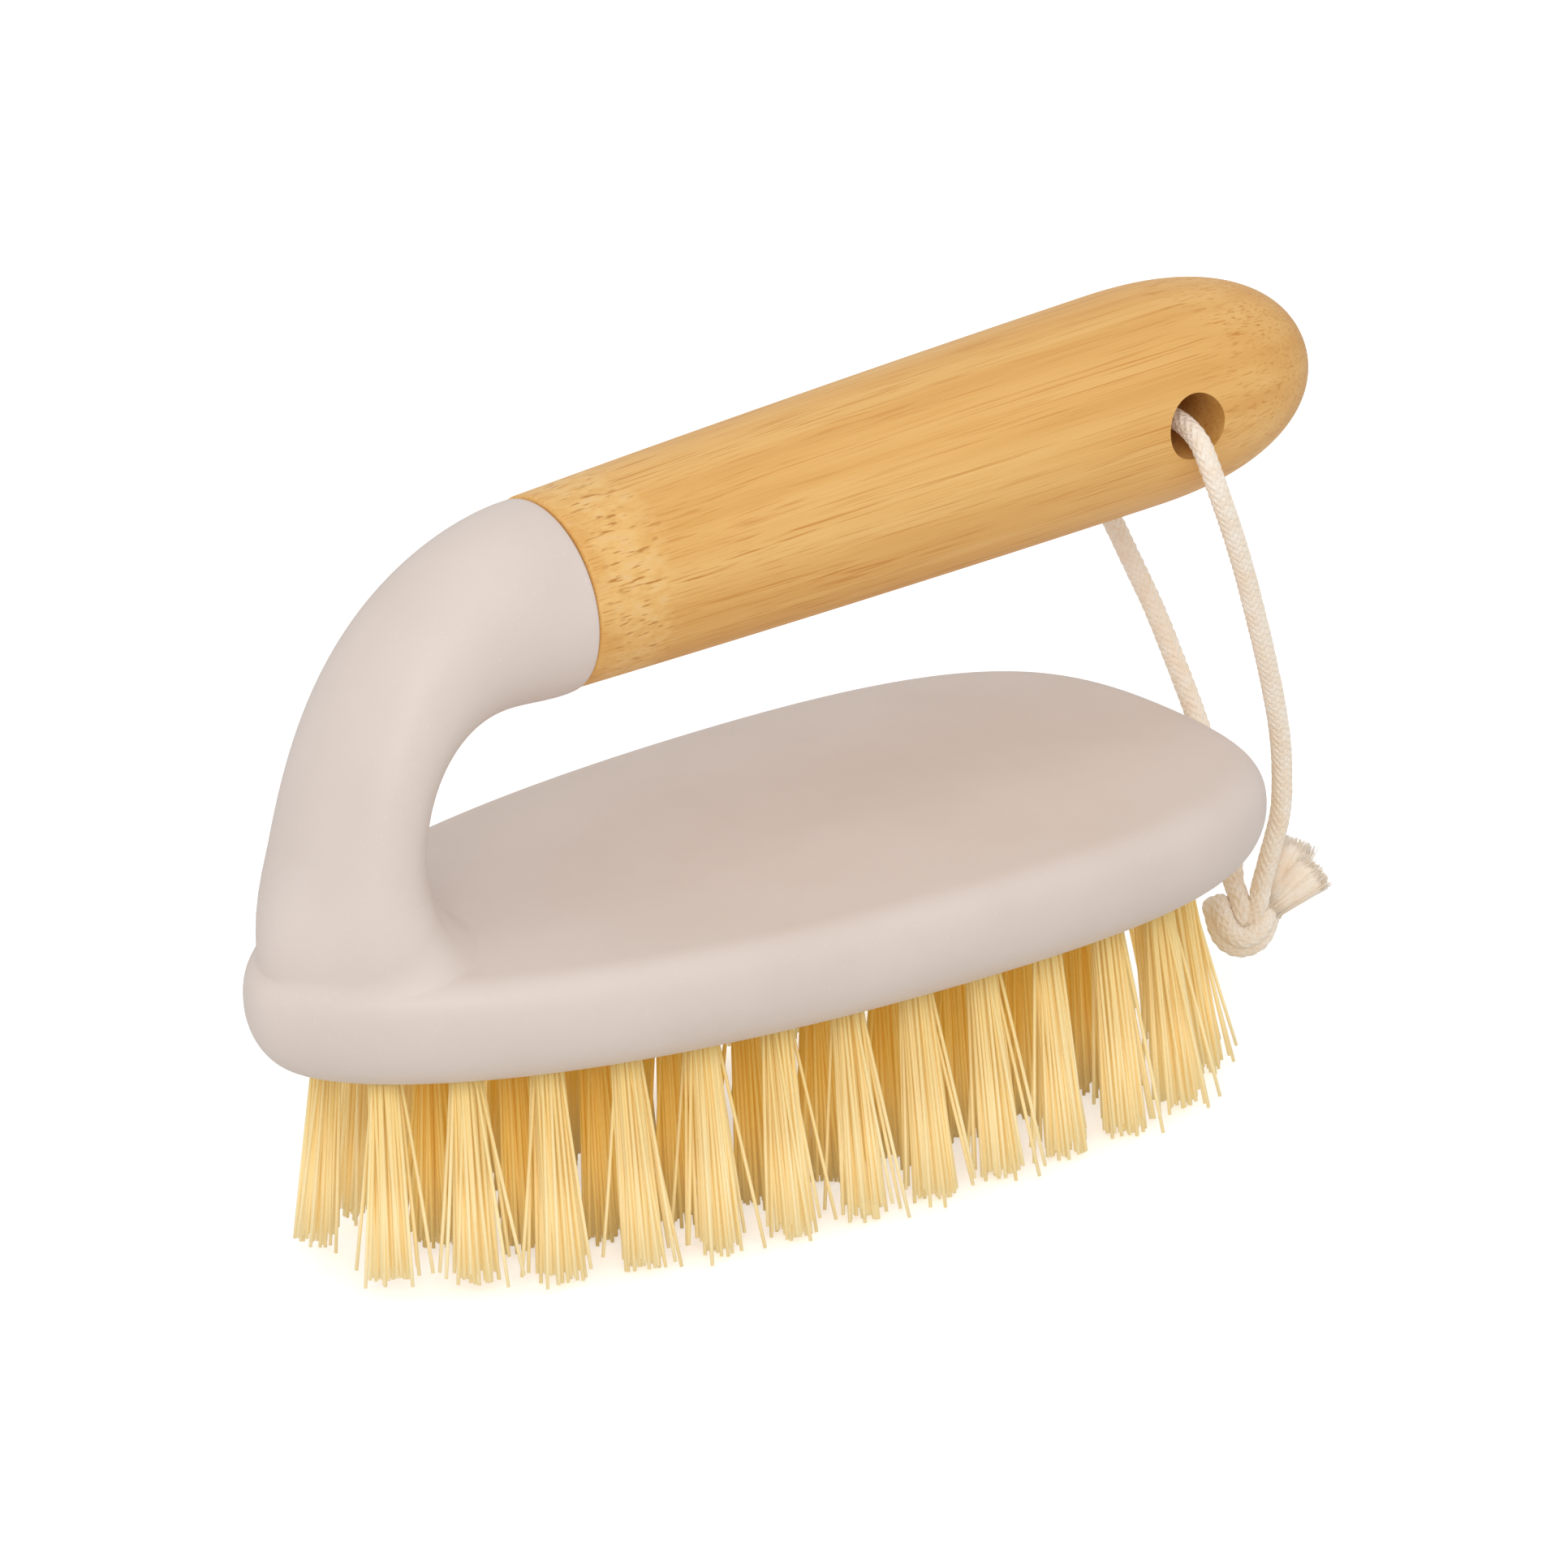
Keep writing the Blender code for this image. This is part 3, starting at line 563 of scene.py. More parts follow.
def smooth_line(route: Sequence[Sequence[float]], steps: int) -> np.ndarray:
    """A smooth line through given points.

    Args:
        route: The points.
        steps: How many steps each span gets.

    Returns:
        The line's points.
    """
    route = np.array(route, float)
    ahead = np.vstack([2 * route[0] - route[1], route, 2 * route[-1] - route[-2]])
    points = []
    for before, start, end, after in zip(ahead, ahead[1:], ahead[2:], ahead[3:]):
        for t in np.linspace(0, 1, steps, endpoint=False):
            near = start * (2 * t**3 - 3 * t**2 + 1) + end * (3 * t**2 - 2 * t**3)
            near += (end - before) / 2 * (t**3 - 2 * t**2 + t)
            points.append(near + (after - start) / 2 * (t**3 - t**2))
    return np.array(points + [route[-1]])


def skin(rings: Sequence[np.ndarray]) -> BMesh:
    """Cover a row of closed rings, and close its ends with flat faces.

    Args:
        rings: Rings of points in millimetres, all of one length.

    Returns:
        The shape in metres, with its faces outwards.
    """
    shape = bmesh.new()
    loops = [[shape.verts.new(point) for point in metres(row)] for row in rings]
    for low, high in zip(loops, loops[1:]):
        for k in range(len(low)):
            after = (k + 1) % len(low)
            shape.faces.new((low[k], low[after], high[after], high[k]))
    for loop in (loops[0], loops[-1]):
        shape.faces.new(loop)
    bmesh.ops.recalc_face_normals(shape, faces=shape.faces)
    return shape


def absorb(shape: BMesh, part: BMesh) -> None:
    """Add a shape to another one.

    Args:
        shape: The shape that it is added to.
        part: The shape that is added, which is freed.
    """
    copy = bpy.data.meshes.new("copy")
    part.to_mesh(copy)
    part.free()
    shape.from_mesh(copy)
    bpy.data.meshes.remove(copy)


def link(name: str, data: ID) -> Object:
    """Put a mesh, a camera or a lamp into the scene.

    Args:
        name: The object's name.
        data: The mesh, the camera or the lamp.

    Returns:
        The object, at the origin.
    """
    thing = bpy.data.objects.new(name, data)
    bpy.context.scene.collection.objects.link(thing)
    return thing


def link_shape(name: str, shape: BMesh) -> Object:
    """Turn a shape into an object in the scene.

    Args:
        name: The object's name.
        shape: The shape, which is freed.

    Returns:
        The object, at the origin.
    """
    mesh = bpy.data.meshes.new(name)
    shape.to_mesh(mesh)
    shape.free()
    return link(name, mesh)


def bake_modifiers(thing: Object, helpers: Sequence[Object] = ()) -> Object:
    """Replace an object by a plain mesh of what its modifiers make of it.

    Args:
        thing: The object, which is removed.
        helpers: Other objects that its modifiers used, removed as well.

    Returns:
        A new object of the same name with no modifiers.
    """
    name = thing.name
    graph = bpy.context.evaluated_depsgraph_get()
    mesh = bpy.data.meshes.new_from_object(
        thing.evaluated_get(graph), preserve_all_data_layers=True, depsgraph=graph
    )
    for used in (thing, *helpers):
        bpy.data.objects.remove(used)
    mesh.name = name
    return link(name, mesh)


def combine(thing: Object, steps: Sequence[tuple[str, Object]], crease: float) -> Object:
    """Join and cut an object with others, and shade the result smooth.

    Args:
        thing: The object, which is removed.
        steps: Rows of (Boolean operation, other object). The others are removed as well.
        crease: The angle in degrees from which an edge stays sharp.

    Returns:
        A new object of the same name.
    """
    for operation, other in steps:
        step = thing.modifiers.new(operation, "BOOLEAN")
        step.operation = operation
        step.object = other
    made = bake_modifiers(thing, [other for _, other in steps])
    made.data.shade_smooth()
    made.data.set_sharp_from_angle(angle=math.radians(crease))
    return made


def finish_piece(
    piece: Object, material: Material, body: Body, nodes: Sequence[str]
) -> Object:
    """Dress a finished piece and tie it to the model.

    Args:
        piece: The piece, at the origin.
        material: Its material.
        body: The body that it rides on.
        nodes: The CAD nodes that it stands for.

    Returns:
        The piece.
    """
    piece.data.materials.clear()
    piece.data.materials.append(material)
    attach(piece, body.value)
    if nodes:
        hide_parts(*nodes)
    faces = len(piece.data.polygons)
    LOG.info(
        "%s: %d faces, rides on %s, stands for %d nodes", piece.name, faces, body.value,
        len(nodes)
    )
    return piece


def direction(turn: float, rise: float) -> Vector:
    """The direction from the brush to a camera or a lamp.

    Args:
        turn: Its azimuth in degrees, from the near side round to the plate's narrow end.
        rise: Its elevation in degrees.

    Returns:
        A vector of length 1.
    """
    turn, rise = math.radians(turn), math.radians(rise)
    return Vector(
        (-math.sin(turn) * math.cos(rise), -math.cos(turn) * math.cos(rise), math.sin(rise))
    )


@dataclass
class Studio:
    """The camera, the pale floor and the soft lights."""

    azimuth: float = 35.119
    elevation: float = 21.195
    roll: float = -2.239
    distance: float = 1349.6
    focal_pixels: float = 14769.4
    target: Point = (-0.66, 0.0, 43.33)
    sensor: float = 36.0
    # What stands round the brush is measured in metres.
    view_depth: float = 20.0
    floor_reach: float = 6.0
    floor_colour: str = "e8e8e8"
    # The floor's own glow where the camera sees it, and the room's light on the brush.
    floor_lift: float = 0.5
    fill_light: float = 0.72
    lamp_distance: float = 2.0
    lamp_target: Point = (0.0, 0.0, 0.04)
    # Each lamp's name, azimuth, elevation, side and power.
    lamps: tuple[tuple[str, float, float, float, float], ...] = (
        ("front_softbox", 35.0, 34.0, 0.8, 10.3), ("overhead_softbox", 0.0, 75.0, 1.2, 3.0),
        ("side_softbox", 125.0, 15.0, 1.2, 2.0)
    )

    def camera_axes(self) -> tuple[Vector, Vector, Vector]:
        """Work out the camera's axes.

        Returns:
            The directions to the image's right, to its top and back to the camera.
        """
        turn, roll = math.radians(self.azimuth), math.radians(self.roll)
        back = direction(self.azimuth, self.elevation)
        right = Vector((math.cos(turn), -math.sin(turn), 0.0))
        top = back.cross(right)
        return (
            math.cos(roll) * right + math.sin(roll) * top,
            math.cos(roll) * top - math.sin(roll) * right, back
        )

    def add_camera(self) -> None:
        """Put the camera where the photograph was taken from."""
        right, top, back = self.camera_axes()
        lens = bpy.data.cameras.new("camera")
        lens.sensor_width = self.sensor
        lens.lens = self.focal_pixels / IMAGE_SIDE * self.sensor
        lens.clip_end = self.view_depth
        camera = link("camera", lens)
        stand = Matrix((right, top, back)).transposed().to_4x4()
        stand.translation = (Vector(self.target) + back * self.distance) * MM
        camera.matrix_world = stand
        bpy.context.scene.camera = camera

    def add_lamp(self, name: str, turn: float, rise: float, side: float, power: float) -> None:
        """Hang a square soft lamp that faces the brush.

        Args:
            name: The lamp's name.
            turn: Its azimuth in degrees.
            rise: Its elevation in degrees.
            side: The length of its side in metres.
            power: Its power in watts.
        """
        data = bpy.data.lights.new(name, "AREA")
        data.size = side
        data.energy = power
        lamp = link(name, data)
        back = direction(turn, rise)
        lamp.rotation_mode = "QUATERNION"
        lamp.rotation_quaternion = (-back).to_track_quat("-Z", "Y")
        lamp.location = Vector(self.lamp_target) + back * self.lamp_distance

    def add_floor(self) -> None:
        """Lay the white floor, which keeps the brush's soft shadow."""
        material = bpy.data.materials.new("white_paper_floor")
        material.use_nodes = True
        material.node_tree.nodes.clear()
        node = partial(add_node, material.node_tree)
        paper = node("ShaderNodeBsdfDiffuse", Color=linear(self.floor_colour))
        path = node("light_path")
        lift = node("multiply", path.outputs["Is Camera Ray"], self.floor_lift)
        glow = node("ShaderNodeEmission", Strength=lift)
        both = node("ShaderNodeAddShader", paper, glow)
        node("ShaderNodeOutputMaterial", Surface=both)
        sheet = bmesh.new()
        bmesh.ops.create_grid(sheet, x_segments=1, y_segments=1, size=self.floor_reach)
        floor = link_shape("floor", sheet)
        floor.data.materials.append(material)

    def add_world(self) -> None:
        """Fill the room with even white light."""
        world = bpy.data.worlds.new("studio")
        world.use_nodes = True
        world.node_tree.nodes.clear()
        node = partial(add_node, world.node_tree)
        path = node("light_path")
        fill = node("background", Color=linear("ffffff"), Strength=self.fill_light)
        white = node("background", Color=linear("ffffff"), Strength=1.0)
        both = node("ShaderNodeMixShader", path.outputs["Is Camera Ray"], fill, white)
        node("ShaderNodeOutputWorld", Surface=both)
        bpy.context.scene.world = world

    def build(self) -> None:
        """Set up the whole studio."""
        self.add_camera()
        self.add_floor()
        self.add_world()
        for lamp in self.lamps:
            self.add_lamp(*lamp)
        bpy.context.scene.view_settings.view_transform = "Standard"
        LOG.info("studio: camera, floor, world and lamps")


@dataclass(frozen=True)
class Layout:
    """Places that more than one piece works from, in millimetres."""

    tip_x: float = -72.5
    plate_length: float = 128.7
    plate_width: float = 65.0
    underside: float = 25.8
    joint: Point = SHOULDER
    tilt: float = TILT
    grip_length: float = 104.8
    joint_depth: float = 22.3
    tenon: float = 12.0
    clearance: float = 0.3
    seam: float = 0.1
    # Both sides of the seam lie this much nearer to the arm than the CAD's.
    draw_back: float = 0.02

    @property
    def end_x(self) -> float:
        """Where the plate's blunt end is."""
        return self.tip_x + self.plate_length

    @property
    def grip_axis(self) -> np.ndarray:
        """The direction from the shoulder to the grip's free end."""
        turn = math.radians(self.tilt)
        return np.array([math.cos(turn), 0.0, math.sin(turn)])

    @property
    def grip_up(self) -> np.ndarray:
        """The direction up, square to the grip's axis."""
        turn = math.radians(self.tilt)
        return np.array([-math.sin(turn), 0.0, math.cos(turn)])


@dataclass
class HeadMoulding:
    """The moulded head, an egg-shaped plate with an arm that grows out of its narrow end."""

    layout: Layout
    wall_height: float = 8.3
    wall_undercut: float = 7.8
    rim_radius: float = 5.0
    rim_squareness: float = 2.5
    crown_height: float = 1.1
    crown_flat: float = 3.0
    widest_share: float = 0.66
    tip_sweep: float = 0.75
    end_sweep: float = 0.89
    fullness: Sizes = (0.28, 0.64)
    foot_setback: float = 12.7
    # The fillet round the foot: at the plate's tip, beside it, at the sides and towards the grip,
    # which are places from -1 to 1 along the foot.
    fillet_stations: Sizes = (-1.0, -0.5, 0.3, 0.9)
    fillet_spread: Sizes = (0.4, 0.8, 2.4, 3.4)
    fillet_rise: Sizes = (0.9, 1.6, 5.0, 7.6)
    fillet_crease: Sizes = (0.1, 0.12, 0.4, 0.38)
    # Towards the tip the foot flares out to the plate's outline, less an inset.
    flare_inset: float = 1.9
    flare_tuck: float = 0.8
    flare_reach: float = 0.15
    flare_turn: Sizes = (-0.75, 0.55)
    foot_squareness: float = 2.2
    foot_lift: float = 1.0
    foot_taper: float = 0.8
    foot_smoothing: int = 16
    rim_margin: float = 0.5
    # Room over the fillet's highest point up to the first level ring, and from there up to the
    # arm's own sections.
    fillet_room: float = 0.4
    arm_room: float = 0.3
    arm_lean: float = -4.2
    arm_rise: float = 15.3
    corner_offset: float = 3.9
    run_out: float = 6.2
    end_drop: float = 0.25
    lip_radius: float = 0.5
    # Sections nearer to the arm's end than this many radii of its lip are left out.
    lip_room: float = 1.3
    arm_depths: Sizes = (19.2, 13.2, 19.1, 22.3)
    arm_widths: Sizes = (24.8, 20.2, 22.5)
    outline_steps: int = 56
    inset_steps: int = 220
    wall_steps: int = 18
    rim_steps: int = 20
    crown_steps: int = 14
    arm_sides: int = 120
    arm_rings: int = 90
    lip_rings: int = 8
    tangent_step: float = 0.001
    fillet_rings: int = 14
    foot_reach: float = 0.2
    foot_steps: int = 101
    foot_sink: float = 0.02
    hole_diameter: float = 4.4
    hole_depth: float = 6.0
    hole_sides: int = 20
    socket_sides: int = 48
    crease: float = 40.0

    @property
    def rim_base(self) -> float:
        """Height at which the wall turns into the rounded rim."""
        return self.layout.underside + self.wall_height

    @property
    def deepest(self) -> float:
        """The inset at which the crown turns flat."""
        return self.layout.plate_width / 2 - self.crown_flat

    def outline(self, inset: float) -> np.ndarray:
        """Draw the plate's outline.

        Args:
            inset: How far it is drawn in.

        Returns:
            Rows of (x, y), anticlockwise from the blunt end.
        """
        left = self.layout.tip_x + inset
        right = self.layout.end_x - inset
        half = self.layout.plate_width / 2 - inset
        widest = left + (right - left) * self.widest_share
        t = np.linspace(0, 1, self.outline_steps + 1)
        end_side = (widest + self.end_sweep * (right - widest), half)
        tip_side = (widest - self.tip_sweep * (widest - left), half)
        blunt = bezier(
            ((right, 0), (right, self.fullness[1] * half), end_side, (widest, half)), t
        )
        narrow = bezier(((widest, half), tip_side, (left, self.fullness[0] * half), (left, 0)), t)
        upper = np.vstack([blunt[:-1], narrow])
        return np.vstack([upper, upper[-2:0:-1] * (1, -1)])

    def heights(self, insets: np.ndarray) -> np.ndarray:
        """Heights of the plate's top at insets from its outline.

        Args:
            insets: The insets, below zero outside the outline.

        Returns:
            One height for each.
        """
        run = np.clip(1 - insets / self.rim_radius, 0, 1)
        power = self.rim_squareness
        rim = self.rim_base + self.rim_radius * (1 - run**power) ** (1 / power)
        share = np.clip((insets - self.rim_radius) / (self.deepest - self.rim_radius), 0, 1)
        return rim + self.crown_height * (1 - (1 - share) ** 2)

    def insets(self, spots: np.ndarray) -> np.ndarray:
        """How far spots on the plate lie inside its outline.

        Args:
            spots: Rows of (x, y).

        Returns:
            One inset for each.
        """
        depths = np.linspace(0, self.deepest, self.inset_steps)
        room = np.empty((len(depths), len(spots)))
        for row, depth in zip(room, depths):
            side = self.outline(depth)[2 * self.outline_steps :: -1]
            row[:] = np.interp(spots[:, 0], side[:, 0], side[:, 1], left=-1, right=-1)
        room -= np.abs(spots[:, 1])
        after = np.clip((room > 0).sum(axis=0), 1, len(depths) - 1)
        each = np.arange(len(spots))
        inner, outer = room[after, each], room[after - 1, each]
        share = np.clip(outer / (outer - inner), 0, 1)
        return depths[after - 1] + share * depths[1]

    def rises(self, points: np.ndarray) -> np.ndarray:
        """How high points stand over the plate's top.

        Args:
            points: Rows of (x, y, z).

        Returns:
            One rise for each.
        """
        return points[:, 2] - self.heights(self.insets(points[:, :2]))

    def plate(self) -> BMesh:
        """Draw the plate, from its flat underside up to its crowned top.

        Returns:
            The plate's shape.
        """
        levels = []
        for rise, inset in quarter(self.wall_steps + 1)[:-1]:
            height = self.layout.underside + self.wall_height * rise
            levels.append((self.wall_undercut * inset, height))
        turns = np.linspace(0, math.pi / 2, self.rim_steps + 1)
        rim = self.rim_radius * (1 - np.cos(turns) ** (2 / self.rim_squareness))
        crown = np.linspace(self.rim_radius, self.deepest, self.crown_steps + 1)[1:]
        tops = np.concatenate([rim, crown])
        levels += zip(tops, self.heights(tops))
        rings = []
        for inset, height in levels:
            flat = self.outline(inset)
            rings.append(np.column_stack([flat, np.full(len(flat), height)]))
        return skin(rings)

    def arm_centre(self, t: np.ndarray) -> np.ndarray:
        """Draw the arm's centreline.

        Args:
            t: Places on it, from 0 at the foot to 1 at the grip.

        Returns:
            One point for each place.
        """
        layout = self.layout
        lean = math.radians(self.arm_lean)
        top = self.rim_base + self.rim_radius + self.foot_lift
        foot = np.array([layout.tip_x + self.foot_setback, 0.0, top])
        end = np.array(layout.joint) - layout.grip_up * self.end_drop
        end -= layout.grip_axis * layout.draw_back
        rise = foot + self.arm_rise * np.array([math.sin(lean), 0.0, math.cos(lean)])
        corner = np.array([foot[0] + self.corner_offset, 0.0, layout.joint[2]])
        return bezier((foot, rise, corner, end - layout.grip_axis * self.run_out, end), t)

    def arm_sections(self, t: np.ndarray) -> np.ndarray:
        """Draw oval sections of the arm.

        Args:
            t: Places on its centreline. Those below 0 go straight on down into the plate.

        Returns:
            One ring of points for each place, the lowest ones with the foot's flare.
        """
        centres = self.arm_centre(t)
        along = self.arm_centre(t + self.tangent_step) - self.arm_centre(t - self.tangent_step)
        along /= np.linalg.norm(along, axis=1)[:, None]
        along[t >= 1] = self.layout.grip_axis
        kept = np.clip(t, 0, 1)
        deep = through(self.arm_depths, kept) / 2
        wide = through(self.arm_widths, kept) / 2
        power = 2 / (2 + (self.foot_squareness - 2) * (1 - kept) ** 2)
        angles = np.linspace(0, 2 * math.pi, self.arm_sides, endpoint=False)
        sections = []
        for k, centre in enumerate(centres):
            across = np.array([along[k][2], 0.0, -along[k][0]])
            out = deep[k] * np.sign(np.cos(angles)) * np.abs(np.cos(angles)) ** power[k]
            side = wide[k] * np.sign(np.sin(angles)) * np.abs(np.sin(angles)) ** power[k]
            sections.append(ring(centre, np.column_stack([out, side]), across, ACROSS))

        # Towards the plate's tip the lowest sections flare out to its outline.
        border = self.outline(self.flare_inset)
        for section, centre, share in zip(sections, centres, t):
            if share >= self.flare_reach:
                continue
            arms, spokes = section[:, :2] - centre[:2], border - centre[:2]
            spans, bearings = np.hypot(*arms.T), np.arctan2(arms[:, 1], arms[:, 0])
            order = np.argsort(np.arctan2(spokes[:, 1], spokes[:, 0]))
            limits = np.interp(
                bearings, np.arctan2(spokes[:, 1], spokes[:, 0])[order],
                np.hypot(*spokes.T)[order], period=2 * math.pi
            )
            fade = min(1 - share / self.flare_reach, 1.0)
            weight = fade * fade * (3 - 2 * fade)
            weight = weight * np.interp(np.cos(bearings), self.flare_turn, (1.0, 0.0))
            grown = 1 + weight * np.maximum(limits - spans, -self.flare_tuck) / spans
            section[:, :2] = centre[:2] + arms * grown[:, None]
        return np.array(sections)

    def foot_rings(self) -> list[np.ndarray]:
        """Rings of the foot, from inside the plate through a fillet up to the arm.

        Returns:
            The rings, lowest first.
        """
        reach = np.linspace(-self.foot_reach, self.foot_reach, self.foot_steps)
        columns = np.swapaxes(self.arm_sections(reach), 0, 1)
        rises = self.rises(columns.reshape(-1, 3)).reshape(columns.shape[:2])

        def level(wanted: np.ndarray) -> np.ndarray:
            """Find the ring at which the arm's surface stands at given rises over the plate.

            Args:
                wanted: The rise in each column of points up the arm.

            Returns:
                One point for each column.
            """
            found = []
            for column, climb, rise in zip(columns, rises, wanted):
                k = int(np.flatnonzero((climb[:-1] <= rise) & (climb[1:] > rise))[0])
                share = (rise - climb[k]) / (climb[k + 1] - climb[k])
                found.append(column[k] + (column[k + 1] - column[k]) * share)
            return np.array(found)

        # The fillet is widest towards the grip, and ends in a crease near the plate's tip.
        foot = level(np.zeros(len(columns)))
        facing = (foot[:, 0] - foot[:, 0].mean()) / (np.ptp(foot[:, 0]) / 2)

        def smooth(size: np.ndarray) -> np.ndarray:
            """Round off the corners of values round the foot.

            Args:
                size: The values, one row for each column of points.

            Returns:
                The rounded values.
            """
            for _ in range(self.foot_smoothing):
                size = (np.roll(size, 1, axis=0) + 2 * size + np.roll(size, -1, axis=0)) / 4
            return size

        def round_foot(values: Sequence[float]) -> np.ndarray:
            """A size of the fillet all round the foot, from its values along the plate."""
            return smooth(np.interp(facing, self.fillet_stations, values))

        fillet = round_foot(self.fillet_rise)
        top = level(fillet)

        # It spreads out from the arm, but never over the rim.
        after = np.roll(foot, -1, axis=0) - np.roll(foot, 1, axis=0)
        outward = np.column_stack([after[:, 1], -after[:, 0]])
        outward /= np.linalg.norm(outward, axis=1)[:, None]
        if (outward * (foot - foot.mean(axis=0))[:, :2]).sum() < 0:
            outward = -outward
        room = self.rim_margin * self.insets(foot[:, :2])
        spread = np.minimum(round_foot(self.fillet_spread), room)
        spots = smooth(foot[:, :2] + outward * spread[:, None])
        edge = np.column_stack([spots, self.heights(self.insets(spots)) - self.foot_sink])
        corner = foot + (top - foot) * round_foot(self.fillet_crease)[:, None]
        rings = []
        for share in np.linspace(0, 1, self.fillet_rings + 1):
            low = edge + (corner - edge) * share
            high = corner + (top - corner) * share
            rings.append(low + (high - low) * share)
        # Over the fillet the rings level out until they follow the plate's top.
        for share in (0.25, 0.5, 0.75, 1.0):
            rings.append(level(fillet + (fillet.max() + self.fillet_room - fillet) * share))
        middle = foot.mean(axis=0)
        buried = middle + (edge - middle) * self.foot_taper - (0, 0, self.wall_height / 3)
        return [buried] + rings

    def arm(self) -> BMesh:
        """Draw the arm, from inside the plate to the lip that meets the grip.

        Returns:
            The arm's shape.
        """
        rings = self.foot_rings()
        clear = rings[-1][:, 2].max() + self.arm_room
        sections = self.arm_sections(np.linspace(0, 1, self.arm_rings + 1))
        rings += [section for section in sections if (section[:, 2] > clear).all()]
        end = rings.pop()
        middle = end.mean(axis=0)
        nearest = self.lip_room * self.lip_radius
        rings = [row for row in rings if np.linalg.norm(row.mean(axis=0) - middle) > nearest]
        for inset, back in quarter(self.lip_rings):
            drawn = self.lip_radius * inset / (self.layout.joint_depth / 2)
            edge = middle + (end - middle) * (1 - drawn)
            rings.append(edge - self.layout.grip_axis * self.lip_radius * back)
        return skin(rings)

    def drills(self, tufts: Sequence["TuftPlace"]) -> BMesh:
        """Draw the cutters for the tuft holes and for the tenon's socket.

        Args:
            tufts: Where the tufts stand.

        Returns:
            All the cutters as one shape.
        """
        layout = self.layout
        shape = bmesh.new()
        disc = circle(self.hole_diameter / 2, self.hole_sides)
        for tuft in tufts:
            rings = []
            for rise in (self.hole_depth, -self.hole_depth):
                spots = disc + (tuft.root - tuft.lean * rise)
                heights = np.full(len(spots), layout.underside + rise)
                rings.append(np.column_stack([spots, heights]))
            absorb(shape, skin(rings))
        disc = circle(layout.tenon / 2 + layout.clearance, self.socket_sides)
        rings = []
        for distance in (-layout.tenon - layout.clearance, layout.tenon):
            centre = np.array(layout.joint) + layout.grip_axis * distance
            rings.append(ring(centre, disc, layout.grip_up, ACROSS))
        absorb(shape, skin(rings))
        bmesh.ops.recalc_face_normals(shape, faces=shape.faces)
        return shape

    def build(self, tufts: Sequence["TuftPlace"], material: Material) -> Object:
        """Fuse plate and arm, drill them and dress the moulding.

        Args:
            tufts: Where the tufts stand.
            material: The moulding's material.

        Returns:
            The finished piece.
        """
        head = link_shape("head_moulding", self.plate())
        arm = link_shape("arm_form", self.arm())
        drills = link_shape("drill_form", self.drills(tufts))
        head = combine(head, [("UNION", arm), ("DIFFERENCE", drills)], self.crease)
        return finish_piece(head, material, Body.BRUSH, ["head"])


@dataclass
class BambooGrip:
    """The turned grip: a slightly oval barrel with a rounded end, a tenon and a cross hole."""

    layout: Layout
    depths: Sizes = (22.3, 24.1, 25.0)
    widths: Sizes = (22.3, 26.2)
    cap_length: float = 24.1
    cap_fullness: float = 2.29
    edge_radius: float = 0.5
    tenon_chamfer: float = 1.0
    hole_diameter: float = 7.8
    hole_from_end: float = 23.3
    sides: int = 144
    body_rings: int = 60
    cap_rings: int = 40
    edge_rings: int = 7
    bore_sides: int = 72
    bore_rings: int = 9
    crease: float = 35.0

    def share(self, distance: float) -> float:
        """How far along the barrel up to its cap a distance from the shoulder is, at most 1."""
        return min(distance / (self.layout.grip_length - self.cap_length), 1.0)

    def half_depth(self, distance: float) -> float:
        """Half the barrel's depth at a distance from the shoulder."""
        return float(through(self.depths, np.array([self.share(distance)]))[0]) / 2

    def ratio(self, distance: float) -> float:
        """The barrel's width over its depth at a distance from the shoulder."""
        start = self.widths[0] / self.depths[0]
        return start + (self.widths[1] / self.depths[2] - start) * self.share(distance)

    def profile(self) -> list[tuple[float, float]]:
        """Draw the barrel's profile, from the tenon's end to the free end.

        Returns:
            Rows of (distance from the shoulder, half depth).
        """
        layout = self.layout
        start = layout.seam - layout.draw_back
        tenon = layout.tenon / 2
        rows = [
            (-layout.tenon, tenon - self.tenon_chamfer),
            (-layout.tenon + self.tenon_chamfer, tenon), (start, tenon)
        ]
        for way, drop in quarter(self.edge_rings):
            distance = start + self.edge_radius * way
            rows.append((distance, self.half_depth(distance) - self.edge_radius * drop))
        body = layout.grip_length - self.cap_length
        for distance in np.linspace(rows[-1][0], body, self.body_rings + 1)[1:]:
            rows.append((distance, self.half_depth(distance)))
        for turn in np.linspace(0, math.pi / 2, self.cap_rings + 1)[1:-1]:
            share = math.sin(turn)
            fall = (1 - share**self.cap_fullness) ** (1 / self.cap_fullness)
            rows.append((body + self.cap_length * share, self.half_depth(body) * fall))
        return rows

    def build(self, material: Material) -> Object:
        """Turn the barrel, bore it and dress it.

        Args:
            material: The grip's material.

        Returns:
            The finished piece.
        """
        layout = self.layout
        joint = np.array(layout.joint)
        rings = []
        for distance, radius in self.profile():
            ratio = self.ratio(distance) if distance > 0 else 1.0
            disc = circle(radius, self.sides) * (1.0, ratio)
            rings.append(ring(joint + layout.grip_axis * distance, disc, layout.grip_up, ACROSS))
        grip = link_shape("grip_barrel", skin(rings))
        centre = joint + layout.grip_axis * (layout.grip_length - self.hole_from_end)
        disc = circle(self.hole_diameter / 2, self.bore_sides) + centre[[0, 2]]
        reach = self.widths[1]
        bore = [
            np.column_stack([disc[:, 0], np.full(self.bore_sides, side), disc[:, 1]])
            for side in np.linspace(-reach, reach, self.bore_rings)
        ]
        cutter = link_shape("bore_form", skin(bore))
        grip = combine(grip, [("DIFFERENCE", cutter)], self.crease)
        return finish_piece(grip, material, Body.BRUSH, ["bamboo_grip"])


